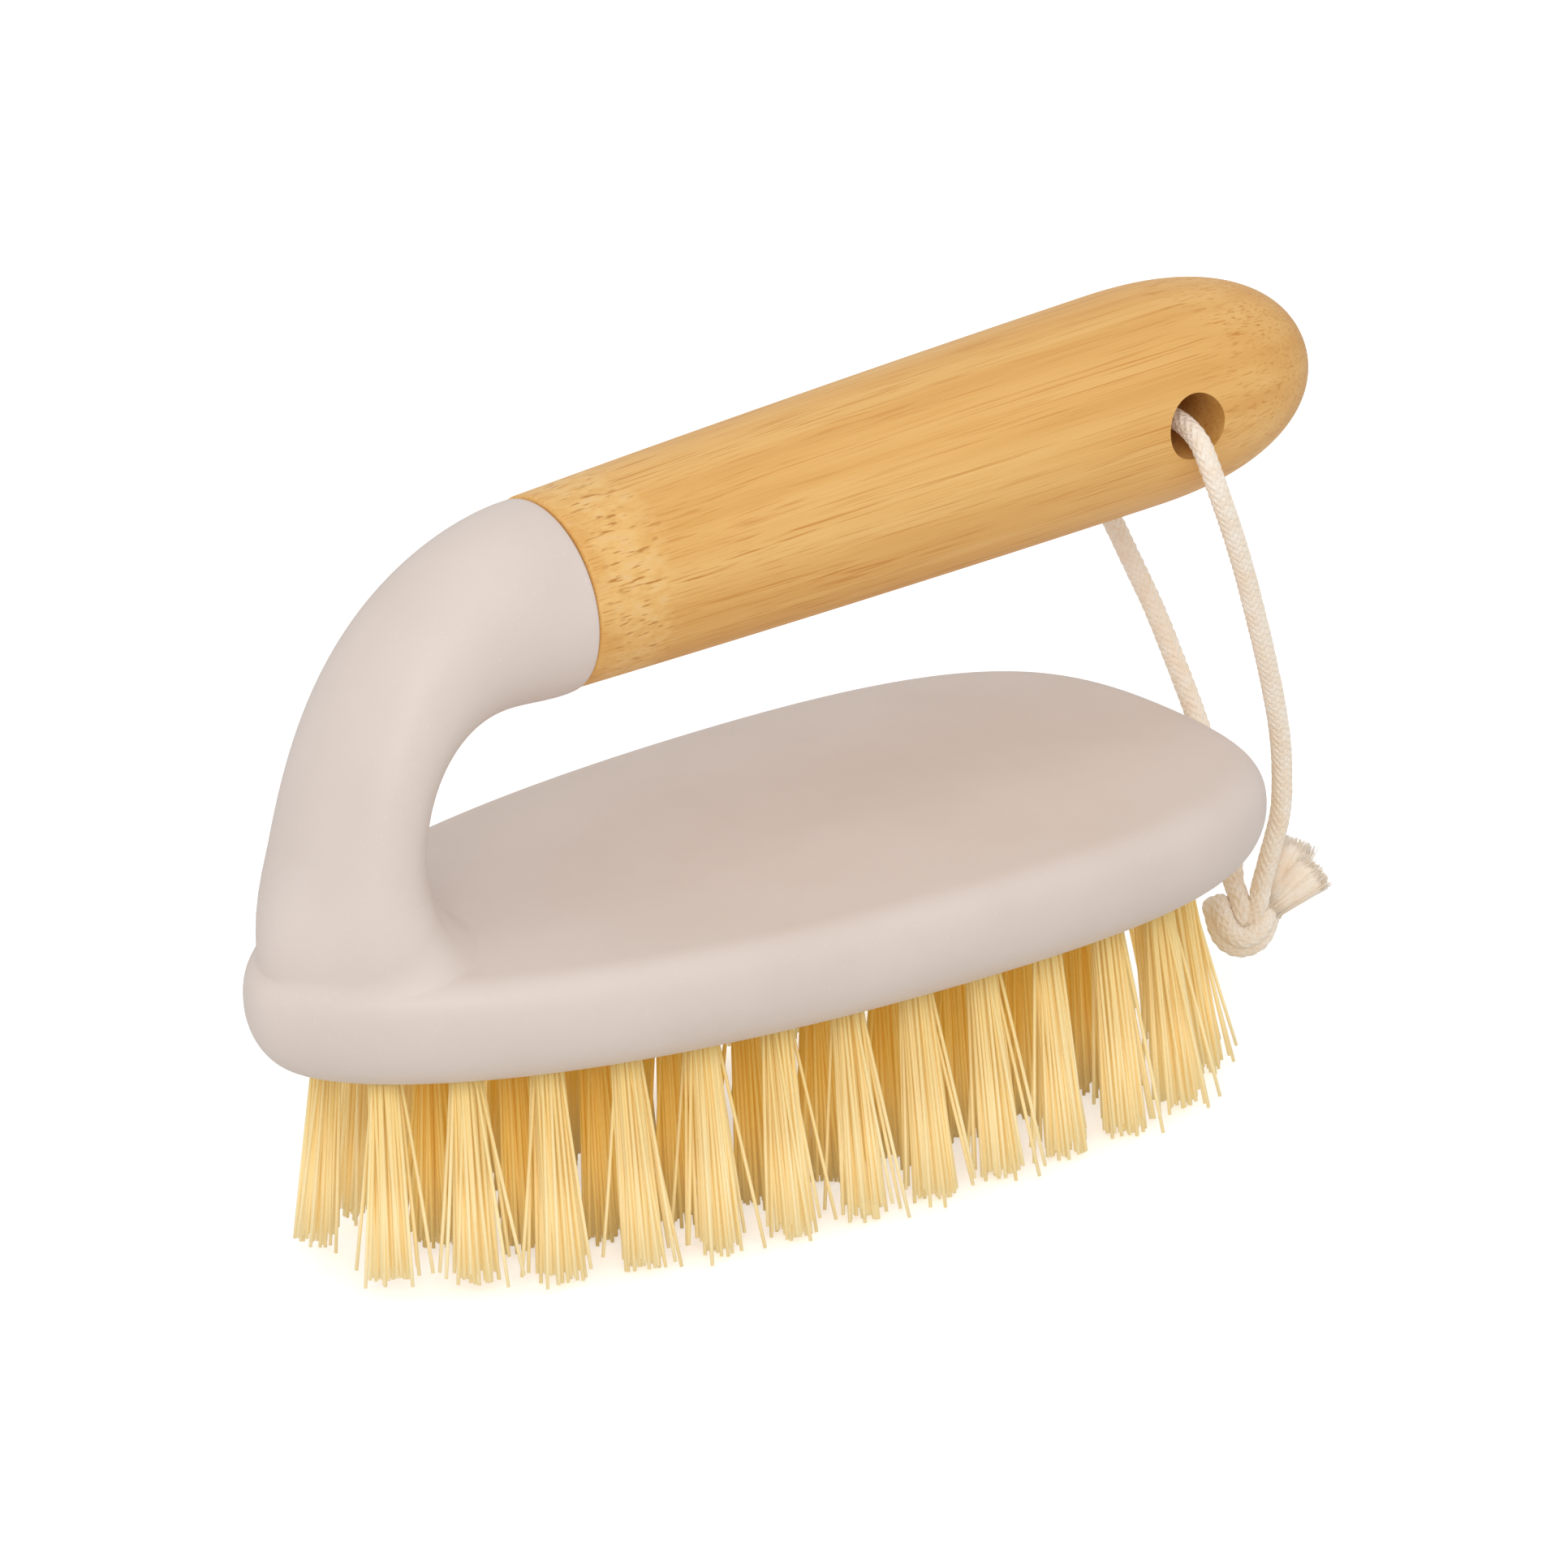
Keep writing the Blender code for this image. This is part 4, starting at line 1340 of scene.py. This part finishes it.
@dataclass(frozen=True)
class TuftPlace:
    """Where one tuft stands, read from its CAD node."""

    node: str
    root: np.ndarray
    lean: np.ndarray
    tip_height: float

    @classmethod
    def read(cls, node: str, underside: float) -> "TuftPlace":
        """Measure a tuft.

        Args:
            node: The name of its CAD node.
            underside: The height of the plate's underside, where its root is.

        Returns:
            The tuft, with its lean for each millimetre of fall.
        """
        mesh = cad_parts[node].data
        points = np.empty(len(mesh.vertices) * 3, np.float32)
        mesh.vertices.foreach_get("co", points)
        points = points.reshape(-1, 3) / MM

        def middle(height: float) -> np.ndarray:
            """The middle of the root plug at a height."""
            level = points[np.abs(points[:, 2] - height) < LEVEL_SLACK]
            return (level.min(axis=0) + level.max(axis=0))[:2] / 2

        top = float(points[:, 2].max())
        root = middle(underside)
        lean = (root - middle(top)) / (top - underside)
        return cls(node, root, lean, float(points[:, 2].min()))


class GeometryTree:
    """A Geometry Nodes tree with named inputs, run once on an object."""

    def __init__(self, name: str, sizes: Mapping[str, Union[float, int]]) -> None:
        """Make the tree's inputs and its output.

        Args:
            name: The tree's name.
            sizes: The named inputs with their values, whole numbers among them.
        """
        self.tree = bpy.data.node_groups.new(name, "GeometryNodeTree")
        self.sizes = sizes
        face = self.tree.interface
        face.new_socket("Geometry", in_out="INPUT", socket_type="NodeSocketGeometry")
        self.keys = {}
        for label, value in sizes.items():
            kind = "NodeSocketInt" if isinstance(value, int) else "NodeSocketFloat"
            self.keys[label] = face.new_socket(label, in_out="INPUT", socket_type=kind).identifier
        face.new_socket("Geometry", in_out="OUTPUT", socket_type="NodeSocketGeometry")
        self.node = partial(add_node, self.tree)
        self.source = self.node("NodeGroupInput")

    def size(self, label: str) -> NodeSocket:
        """The socket of a named input."""
        return self.source.outputs[label]

    def end(self, geometry: Node, material: Material) -> None:
        """Close the tree: everything real, shaded smooth and with its material.

        Args:
            geometry: The node that gives the shape.
            material: The material of every face.
        """
        real = self.node("realize", geometry)
        smooth = self.node("GeometryNodeSetShadeSmooth", real)
        dressed = self.node("GeometryNodeSetMaterial", Geometry=smooth, Material=material)
        self.node("NodeGroupOutput", dressed)

    def run(self, thing: Object) -> Object:
        """Run the tree on an object and keep the result as a plain mesh.

        Args:
            thing: The object that the tree reads, which is removed.

        Returns:
            The new object.
        """
        modifier = thing.modifiers.new(self.tree.name, "NODES")
        modifier.node_group = self.tree
        for label, value in self.sizes.items():
            modifier[self.keys[label]] = value
        made = bake_modifiers(thing)
        bpy.data.node_groups.remove(self.tree)
        return made


@dataclass
class StrandBundles:
    """Bundles of strands that fan out from their roots, such as bristles or frayed yarn."""

    strands: int
    root_radius: float
    spread: float
    strand_radius: float
    unevenness: float
    stray: float
    bend: float
    sides: int = 6
    segments: int = 3
    seed: int = 1
    # How far roots are shaken out of their pattern, and how rare it is to stray: a power.
    shake: float = 0.1
    rarity: float = 5.0

    def tree(self, material: Material) -> GeometryTree:
        """Build the node tree.

        Args:
            material: The strands' material.

        Returns:
            The tree, which reads points with a vector named tip and a number named bundle.
        """
        kit = GeometryTree(
            "strand_bundles",
            {
                "Strands": self.strands, "Root Radius": self.root_radius * MM,
                "Spread": self.spread, "Strand Radius": self.strand_radius * MM,
                "Unevenness": self.unevenness, "Stray": self.stray * MM, "Bend": self.bend * MM,
                "Sides": self.sides, "Segments": self.segments, "Seed": self.seed
            }
        )
        node = kit.node
        tip = node("stored_vector", "tip")
        bundle = node("stored_whole", "bundle")
        copies = node("repeat", Geometry=kit.source, Amount=kit.size("Strands"), domain="POINT")
        index = copies.outputs["Duplicate Index"]

        # Places on a sunflower disc, turned differently in each bundle and a little shaken.
        start = node("random_number", Min=0.0, Max=2 * math.pi, ID=bundle, Seed=kit.size("Seed"))
        golden = math.pi * (3 - math.sqrt(5))
        angle = node("multiply_add", index, golden, start)
        count = node("add", index, 0.5)
        share = node("divide", count, kit.size("Strands"))
        radius = node("sqrt", share)
        cosine = node("cosine", angle)
        sine = node("sine", angle)
        spot = node("combine", cosine, sine)
        disc = node("vector_scale", spot, radius)
        most = (self.shake, self.shake, 0.0)
        least = (-self.shake, -self.shake, 0.0)
        shift = node("random_vector", Min=least, Max=most, Seed=kit.size("Seed"))
        shaken = node("vector_add", disc, shift)
        facing = node("align", Vector=tip, axis="Z")
        level = node("FunctionNodeRotateVector", Vector=shaken, Rotation=facing)
        root = node("vector_scale", level, kit.size("Root Radius"))
        seated = node("move", Geometry=copies.outputs[0], Offset=root)

        # The tips spread, a few strands stray, and the cut is uneven. Each draw has a seed of its
        # own, so that it doesn't follow another one.
        wider = node("subtract", kit.size("Spread"), 1.0)
        fan = node("vector_scale", root, wider)
        chance = node("random_number", Min=0.0, Max=1.0, Seed=11)
        rare = node("power", chance, self.rarity)
        amount = node("multiply", rare, kit.size("Stray"))
        way = node("random_vector", Min=(-1.0, -1.0, -0.1), Max=(1.0, 1.0, 0.1), Seed=12)
        outward = node("vector_add", way, level)
        strayed = node("vector_scale", outward, amount)
        cut = node("random_number", Min=0.0, Max=kit.size("Unevenness"), Seed=13)
        kept = node("subtract", 1.0, cut)
        trimmed = node("vector_scale", tip, kept)
        fanned = node("vector_add", trimmed, fan)
        reach = node("vector_add", fanned, strayed)
        length = node("vector_length", reach)

        # One strand of length 1, which remembers how far along it each point is.
        rod = node(
            "GeometryNodeMeshCylinder", Vertices=kit.size("Sides"),
            Side_Segments=kit.size("Segments"), Radius=1.0, Depth=1.0
        )
        raised = node("GeometryNodeTransform", Geometry=rod, Translation=(0.0, 0.0, 0.5))
        height = node("separate", node("GeometryNodeInputPosition"))
        marked = node(
            "store_number", Geometry=raised, Name="strand_share", Value=height.outputs["Z"],
            domain="POINT"
        )
        thick = kit.size("Strand Radius")
        scale = node("combine", thick, thick, length)
        aim = node("align", Vector=reach, axis="Z")
        planted = node(
            "GeometryNodeInstanceOnPoints", Points=seated, Instance=marked, Rotation=aim,
            Scale=scale
        )
        tone = node("random_number", Min=0.0, Max=1.0, Seed=14)
        toned = node(
            "store_number", Geometry=planted, Name="strand_tone", Value=tone, domain="INSTANCE"
        )
        lean = node("random_vector", Min=(-1.0, -1.0, 0.0), Max=(1.0, 1.0, 0.0), Seed=15)
        leant = node(
            "store_vector", Geometry=toned, Name="strand_bend", Value=lean, domain="INSTANCE"
        )
        real = node("realize", leant)

        # Each strand bends a little, most at its tip.
        way_along = node("stored_number", "strand_share")
        squared = node("power", way_along, 2.0)
        sway = node("multiply", squared, kit.size("Bend"))
        side = node("stored_vector", "strand_bend")
        lent = node("vector_scale", side, sway)
        bent = node("move", Geometry=real, Offset=lent)
        kit.end(bent, material)
        return kit

    def grow(
        self, name: str, roots: Sequence[np.ndarray], tips: Sequence[np.ndarray],
        material: Material
    ) -> Object:
        """Grow the bundles.

        Args:
            name: The piece's name.
            roots: The middle of each bundle's root, in millimetres.
            tips: The middle of each bundle's tips, in millimetres.
            material: The strands' material.

        Returns:
            The piece as a plain mesh.
        """
        mesh = bpy.data.meshes.new(name)
        mesh.from_pydata(metres(roots), [], [])
        reach = (np.array(tips, float) - np.array(roots, float)) * MM
        mesh.attributes.new("tip", "FLOAT_VECTOR", "POINT")
        mesh.attributes.new("bundle", "INT", "POINT")
        mesh.attributes["tip"].data.foreach_set("vector", reach.ravel())
        mesh.attributes["bundle"].data.foreach_set("value", list(range(len(roots))))
        return self.tree(material).run(link(name, mesh))


@dataclass
class BristleField:
    """Three rows of tufts in the plate's underside."""

    layout: Layout
    root_in_hole: float = 2.0
    # The filaments stop this much over the CAD's tips, so that the stray ones end over the floor.
    tip_lift: float = 0.25
    strands: StrandBundles = option(
        default_factory=lambda: StrandBundles(
            strands=72, root_radius=1.56, spread=1.42, strand_radius=0.215, unevenness=0.085,
            stray=2.6, bend=0.45, sides=5
        )
    )

    def places(self) -> list[TuftPlace]:
        """Read where every tuft stands."""
        names = sorted(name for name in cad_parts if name.startswith("tuft_"))
        return [TuftPlace.read(name, self.layout.underside) for name in names]

    def build(self, places: Sequence[TuftPlace]) -> None:
        """Grow the rows and dress them.

        Args:
            places: Where the tufts stand.
        """
        # The inner and centre rows get a shaded copy of the filament: deeper colours as painted
        # shade behind the outer tufts, and a weaker, warmer painted glow.
        open_air = BristleFilament().build("straw_yellow_filament")
        shaded_filament = BristleFilament(
            pale="f8da94", deep="f4cd78", root="e8ad3a", glow="ffdc58", glow_strength=0.11
        ).build("straw_yellow_filament_painted_shade")
        for row in ("outer", "inner", "centre"):
            material = open_air if row == "outer" else shaded_filament
            tufts = [place for place in places if f"_{row}_" in place.node]
            roots = []
            tips = []
            for tuft in tufts:
                rise = self.root_in_hole
                roots.append((*(tuft.root - tuft.lean * rise), self.layout.underside + rise))
                fall = self.layout.underside - tuft.tip_height
                tips.append((*(tuft.root + tuft.lean * fall), tuft.tip_height + self.tip_lift))
            piece = self.strands.grow(f"bristles_{row}_row", roots, tips, material)
            finish_piece(piece, material, Body.BRUSH, [tuft.node for tuft in tufts])


@dataclass
class BraidedCord:
    """A round cotton braid on a core, made along any line."""

    yarns: int = 8
    lay_length: float = 8.4
    braid_radius: float = 0.93
    weave_depth: float = 0.045
    yarn_radius: float = 0.3
    core_radius: float = 1.1
    step: float = 0.35
    yarn_sides: int = 6
    core_sides: int = 12

    @property
    def diameter(self) -> float:
        """The cord's diameter over its yarns."""
        return 2 * (self.braid_radius + self.weave_depth + self.yarn_radius)

    def tree(self, material: Material) -> GeometryTree:
        """Build the node tree, which reads a line of edges.

        Args:
            material: The yarns' material.

        Returns:
            The tree.
        """
        kit = GeometryTree(
            "braid_on_a_core",
            {
                "Yarns Each Way": self.yarns, "Lay Length": self.lay_length * MM,
                "Braid Radius": self.braid_radius * MM, "Weave Depth": self.weave_depth * MM,
                "Yarn Radius": self.yarn_radius * MM, "Core Radius": self.core_radius * MM,
                "Step": self.step * MM, "Yarn Sides": self.yarn_sides
            }
        )
        node = kit.node
        line = node("GeometryNodeMeshToCurve", kit.source)
        step = kit.size("Step")
        even = node("GeometryNodeResampleCurve", Curve=line, Length=step, mode="LENGTH")
        core_ring = node("ring", Resolution=self.core_sides, Radius=kit.size("Core Radius"))
        core = node("sweep", Curve=even, Profile_Curve=core_ring, Fill_Caps=True)
        amount = node("multiply", kit.size("Yarns Each Way"), 2.0)
        copies = node("repeat", Geometry=even, Amount=amount, domain="SPLINE")
        index = copies.outputs["Duplicate Index"]

        # Even copies wind one way round, and odd copies the other way.
        odd = node("modulo", index, 2.0)
        hand = node("multiply_add", odd, 2.0, -1.0)
        pair = node("divide", index, 2.0)
        place = node("floor", pair)
        travel = node("GeometryNodeSplineParameter").outputs["Length"]
        turns = node("divide", travel, kit.size("Lay Length"))
        wound = node("multiply", turns, hand)
        offset = node("divide", place, kit.size("Yarns Each Way"))
        both = node("add", wound, offset)
        angle = node("multiply", both, 2 * math.pi)

        # A yarn goes over two and under two, in columns along the cord.
        half = node("multiply", kit.size("Yarns Each Way"), 0.5)
        phase = node("multiply_add", angle, half, -math.pi / 4)
        wave = node("cosine", phase)
        signed = node("multiply", wave, hand)
        radius = node("multiply_add", signed, kit.size("Weave Depth"), kit.size("Braid Radius"))
        along = node("GeometryNodeInputTangent")
        normal = node("GeometryNodeInputNormal")
        binormal = node("vector_cross_product", along, normal)
        cosine = node("cosine", angle)
        sine = node("sine", angle)
        first = node("vector_scale", normal, cosine)
        second = node("vector_scale", binormal, sine)
        out = node("vector_add", first, second)
        shift = node("vector_scale", out, radius)
        laid = node("move", Geometry=copies.outputs[0], Offset=shift)
        sides, thick = kit.size("Yarn Sides"), kit.size("Yarn Radius")
        yarn_ring = node("ring", Resolution=sides, Radius=thick)
        yarns = node("sweep", Curve=laid, Profile_Curve=yarn_ring, Fill_Caps=True)

        # The core fills the braid, so that no light passes between the yarns.
        joined = node("GeometryNodeJoinGeometry")
        for part in (core, yarns):
            set_inputs(joined, part)
        kit.end(joined, material)
        return kit

    def lay(self, name: str, lines: Sequence[np.ndarray], material: Material) -> Object:
        """Lay the cord along lines.

        Args:
            name: The piece's name.
            lines: Lines of points in millimetres.
            material: The yarns' material.

        Returns:
            The cord as a plain mesh.
        """
        points = []
        edges = []
        for line in lines:
            edges += [(len(points) + k, len(points) + k + 1) for k in range(len(line) - 1)]
            points += metres(line)
        mesh = bpy.data.meshes.new(name)
        mesh.from_pydata(points, edges, [])
        return self.tree(material).run(link(name, mesh))


@dataclass
class HangingCord:
    """The cord loop through the grip, with the knot and the frayed ends that it is tied with."""

    braid: BraidedCord
    pivot: Point = (49.2218, 0.0, 77.5766)
    facing: float = 35.0
    knot_centre: Point = (63.8, 0.05, 9.7)
    route: tuple[Point, ...] = (
        (16.1, -1.7, -63.7), (17.1, -2.3, -59.5), (17.9, -3.4, -54.2), (17.2, -4.8, -48.4),
        (15.7, -6.4, -42.6), (13.6, -8.0, -36.6), (11.1, -9.8, -30.5), (8.5, -11.5, -24.4),
        (5.9, -13.1, -18.4), (3.4, -14.4, -12.9), (1.5, -15.1, -8.6), (0.4, -14.8, -5.0),
        (0.1, -13.2, -1.9), (0.0, -10.6, -0.4), (0.0, -7.0, 0.0), (0.0, 0.0, 0.0),
        (0.0, 7.0, 0.0), (0.0, 10.6, -0.4), (0.2, 13.2, -1.9), (0.7, 14.8, -5.0),
        (2.2, 15.2, -9.0), (4.5, 14.9, -13.8), (7.3, 14.1, -19.3), (9.7, 13.0, -25.6),
        (11.6, 11.4, -31.6), (13.0, 9.7, -37.6), (14.2, 8.0, -43.4), (15.1, 6.1, -49.4),
        (15.5, 4.2, -55.2), (15.2, 2.6, -59.9), (14.8, 1.8, -63.7)
    )
    # The two strands through the knot, as (right, up, towards the eye) from its middle. Each
    # runs from the loop down behind the band, round the left and under, and out to the right.
    near_turn: tuple[Point, ...] = (
        (1.9, 2.6, 1.0), (1.0, 0.8, 0.8), (0.3, -0.8, -0.4), (-0.9, -0.7, -1.7),
        (-2.1, 0.9, -1.3), (-2.5, 2.2, 0.2), (-2.3, 1.3, 1.8), (-1.5, -0.4, 2.4),
        (0.1, -1.2, 2.5), (1.9, -0.6, 1.7), (2.9, 0.6, 0.1), (3.5, 1.6, -1.3)
    )
    far_turn: tuple[Point, ...] = (
        (-0.2, 2.6, 0.9), (-0.1, 0.8, 0.9), (-0.3, -1.0, 0.0), (-1.2, -1.6, -1.6),
        (-2.6, -0.4, -2.1), (-3.3, 1.3, -1.2), (-3.3, 1.4, 0.3), (-2.7, -0.9, 1.1),
        (-1.6, -2.4, 1.2), (0.0, -2.9, 1.1), (1.8, -2.3, 0.8), (3.0, -0.6, -0.4), (3.6, 1.4, -2.6)
    )
    near_tail: Point = (8.9, 4.6, -3.6)
    far_tail: Point = (6.7, 6.9, -6.6)
    # The matted heart of a frayed end: radii, and its lengths as shares of the end.
    heart_root: float = 1.2
    heart_flare: float = 1.5
    heart_length: float = 0.76
    heart_cap: float = 0.22
    heart_fullness: float = 0.6
    heart_point: float = 0.02
    heart_rings: int = 9
    heart_sides: int = 28
    # Steps in each span of a route, and how much of half a span the knot's strands start early.
    span_steps: int = 8
    overlap: float = 0.3
    # The fibres begin this many points before a strand's end.
    fray_from: int = 6
    fibres: StrandBundles = option(
        default_factory=lambda: StrandBundles(
            strands=520, root_radius=1.3, spread=1.85, strand_radius=0.06, unevenness=0.05,
            stray=0.5, bend=0.4, sides=4, segments=3, seed=5
        )
    )

    def in_knot(self, points: Sequence[Sequence[float]]) -> np.ndarray:
        """Turn points of the knot into the model's frame.

        Args:
            points: Rows of (right, up, towards the eye) from the knot's middle.

        Returns:
            Rows of (x, y, z).
        """
        turn = math.radians(self.facing)
        axes = np.array(
            [
                (math.cos(turn), -math.sin(turn), 0.0), (0.0, 0.0, 1.0),
                (-math.sin(turn), -math.cos(turn), 0.0)
            ]
        )
        return np.array(points, float) @ axes + np.array(self.knot_centre)

    def add_heart(self, shape: BMesh, root: np.ndarray, tip: np.ndarray) -> None:
        """Add the matted fibres inside a frayed end, a body that widens to a rounded cut.

        Args:
            shape: The shape that it is added to.
            root: The middle of the end's root.
            tip: The middle of its cut.
        """
        along = (tip - root) / np.linalg.norm(tip - root)
        side = np.cross(along, (0.0, 0.0, 1.0))
        side /= np.linalg.norm(side)
        other = np.cross(along, side)
        flare = [
            (share, self.heart_root + self.heart_flare * share)
            for share in np.linspace(0, self.heart_length, self.heart_rings)
        ]
        widest = flare[-1][1]
        for turn in np.linspace(0, math.pi / 2, self.heart_rings)[1:]:
            closing = max(math.cos(turn), self.heart_point) ** self.heart_fullness
            flare.append((self.heart_length + self.heart_cap * math.sin(turn), widest * closing))
        rings = []
        for share, radius in flare:
            disc = circle(radius, self.heart_sides)
            rings.append(ring(root + (tip - root) * share, disc, side, other))
        absorb(shape, skin(rings))

    def build(self, material: Material) -> None:
        """Lay the loop, tie the knot and fray the ends.

        Args:
            material: The cotton.
        """
        loop_line = smooth_line(np.array(self.route) + np.array(self.pivot), self.span_steps)
        loop = self.braid.lay("cord_loop_braid", [loop_line], material)
        finish_piece(loop, material, Body.CORD, ["cord_loop"])
        half = self.span_steps // 2
        strands = []
        for end, towards, turns in (
            (loop_line[0], loop_line[half], self.near_turn),
            (loop_line[-1], loop_line[-1 - half], self.far_turn)
        ):
            start = end + (towards - end) * self.overlap
            strands.append(smooth_line([start, end, *self.in_knot(turns)], self.span_steps))
        knot = self.braid.lay("cord_knot_tied", strands, material)
        finish_piece(knot, material, Body.CORD, ["cord_knot"])
        roots = [strand[-self.fray_from] for strand in strands]
        tips = self.in_knot((self.near_tail, self.far_tail))
        tails = self.fibres.grow("cord_frayed_ends", roots, tips, material)
        heart = bmesh.new()
        heart.from_mesh(tails.data)
        for root, tip in zip(roots, tips):
            self.add_heart(heart, np.array(root), np.array(tip))
        heart.to_mesh(tails.data)
        heart.free()
        finish_piece(tails, material, Body.CORD, [])


def main() -> None:
    """Build the studio and every sub-assembly in order."""
    layout = Layout()
    Studio().build()
    HangingCord(BraidedCord()).build(SpunCotton().build())
    field = BristleField(layout)
    places = field.places()
    HeadMoulding(layout).build(places, MouldedPlastic().build())
    BambooGrip(layout).build(TurnedBamboo().build())
    field.build(places)


if __name__ == "__main__":
    main()
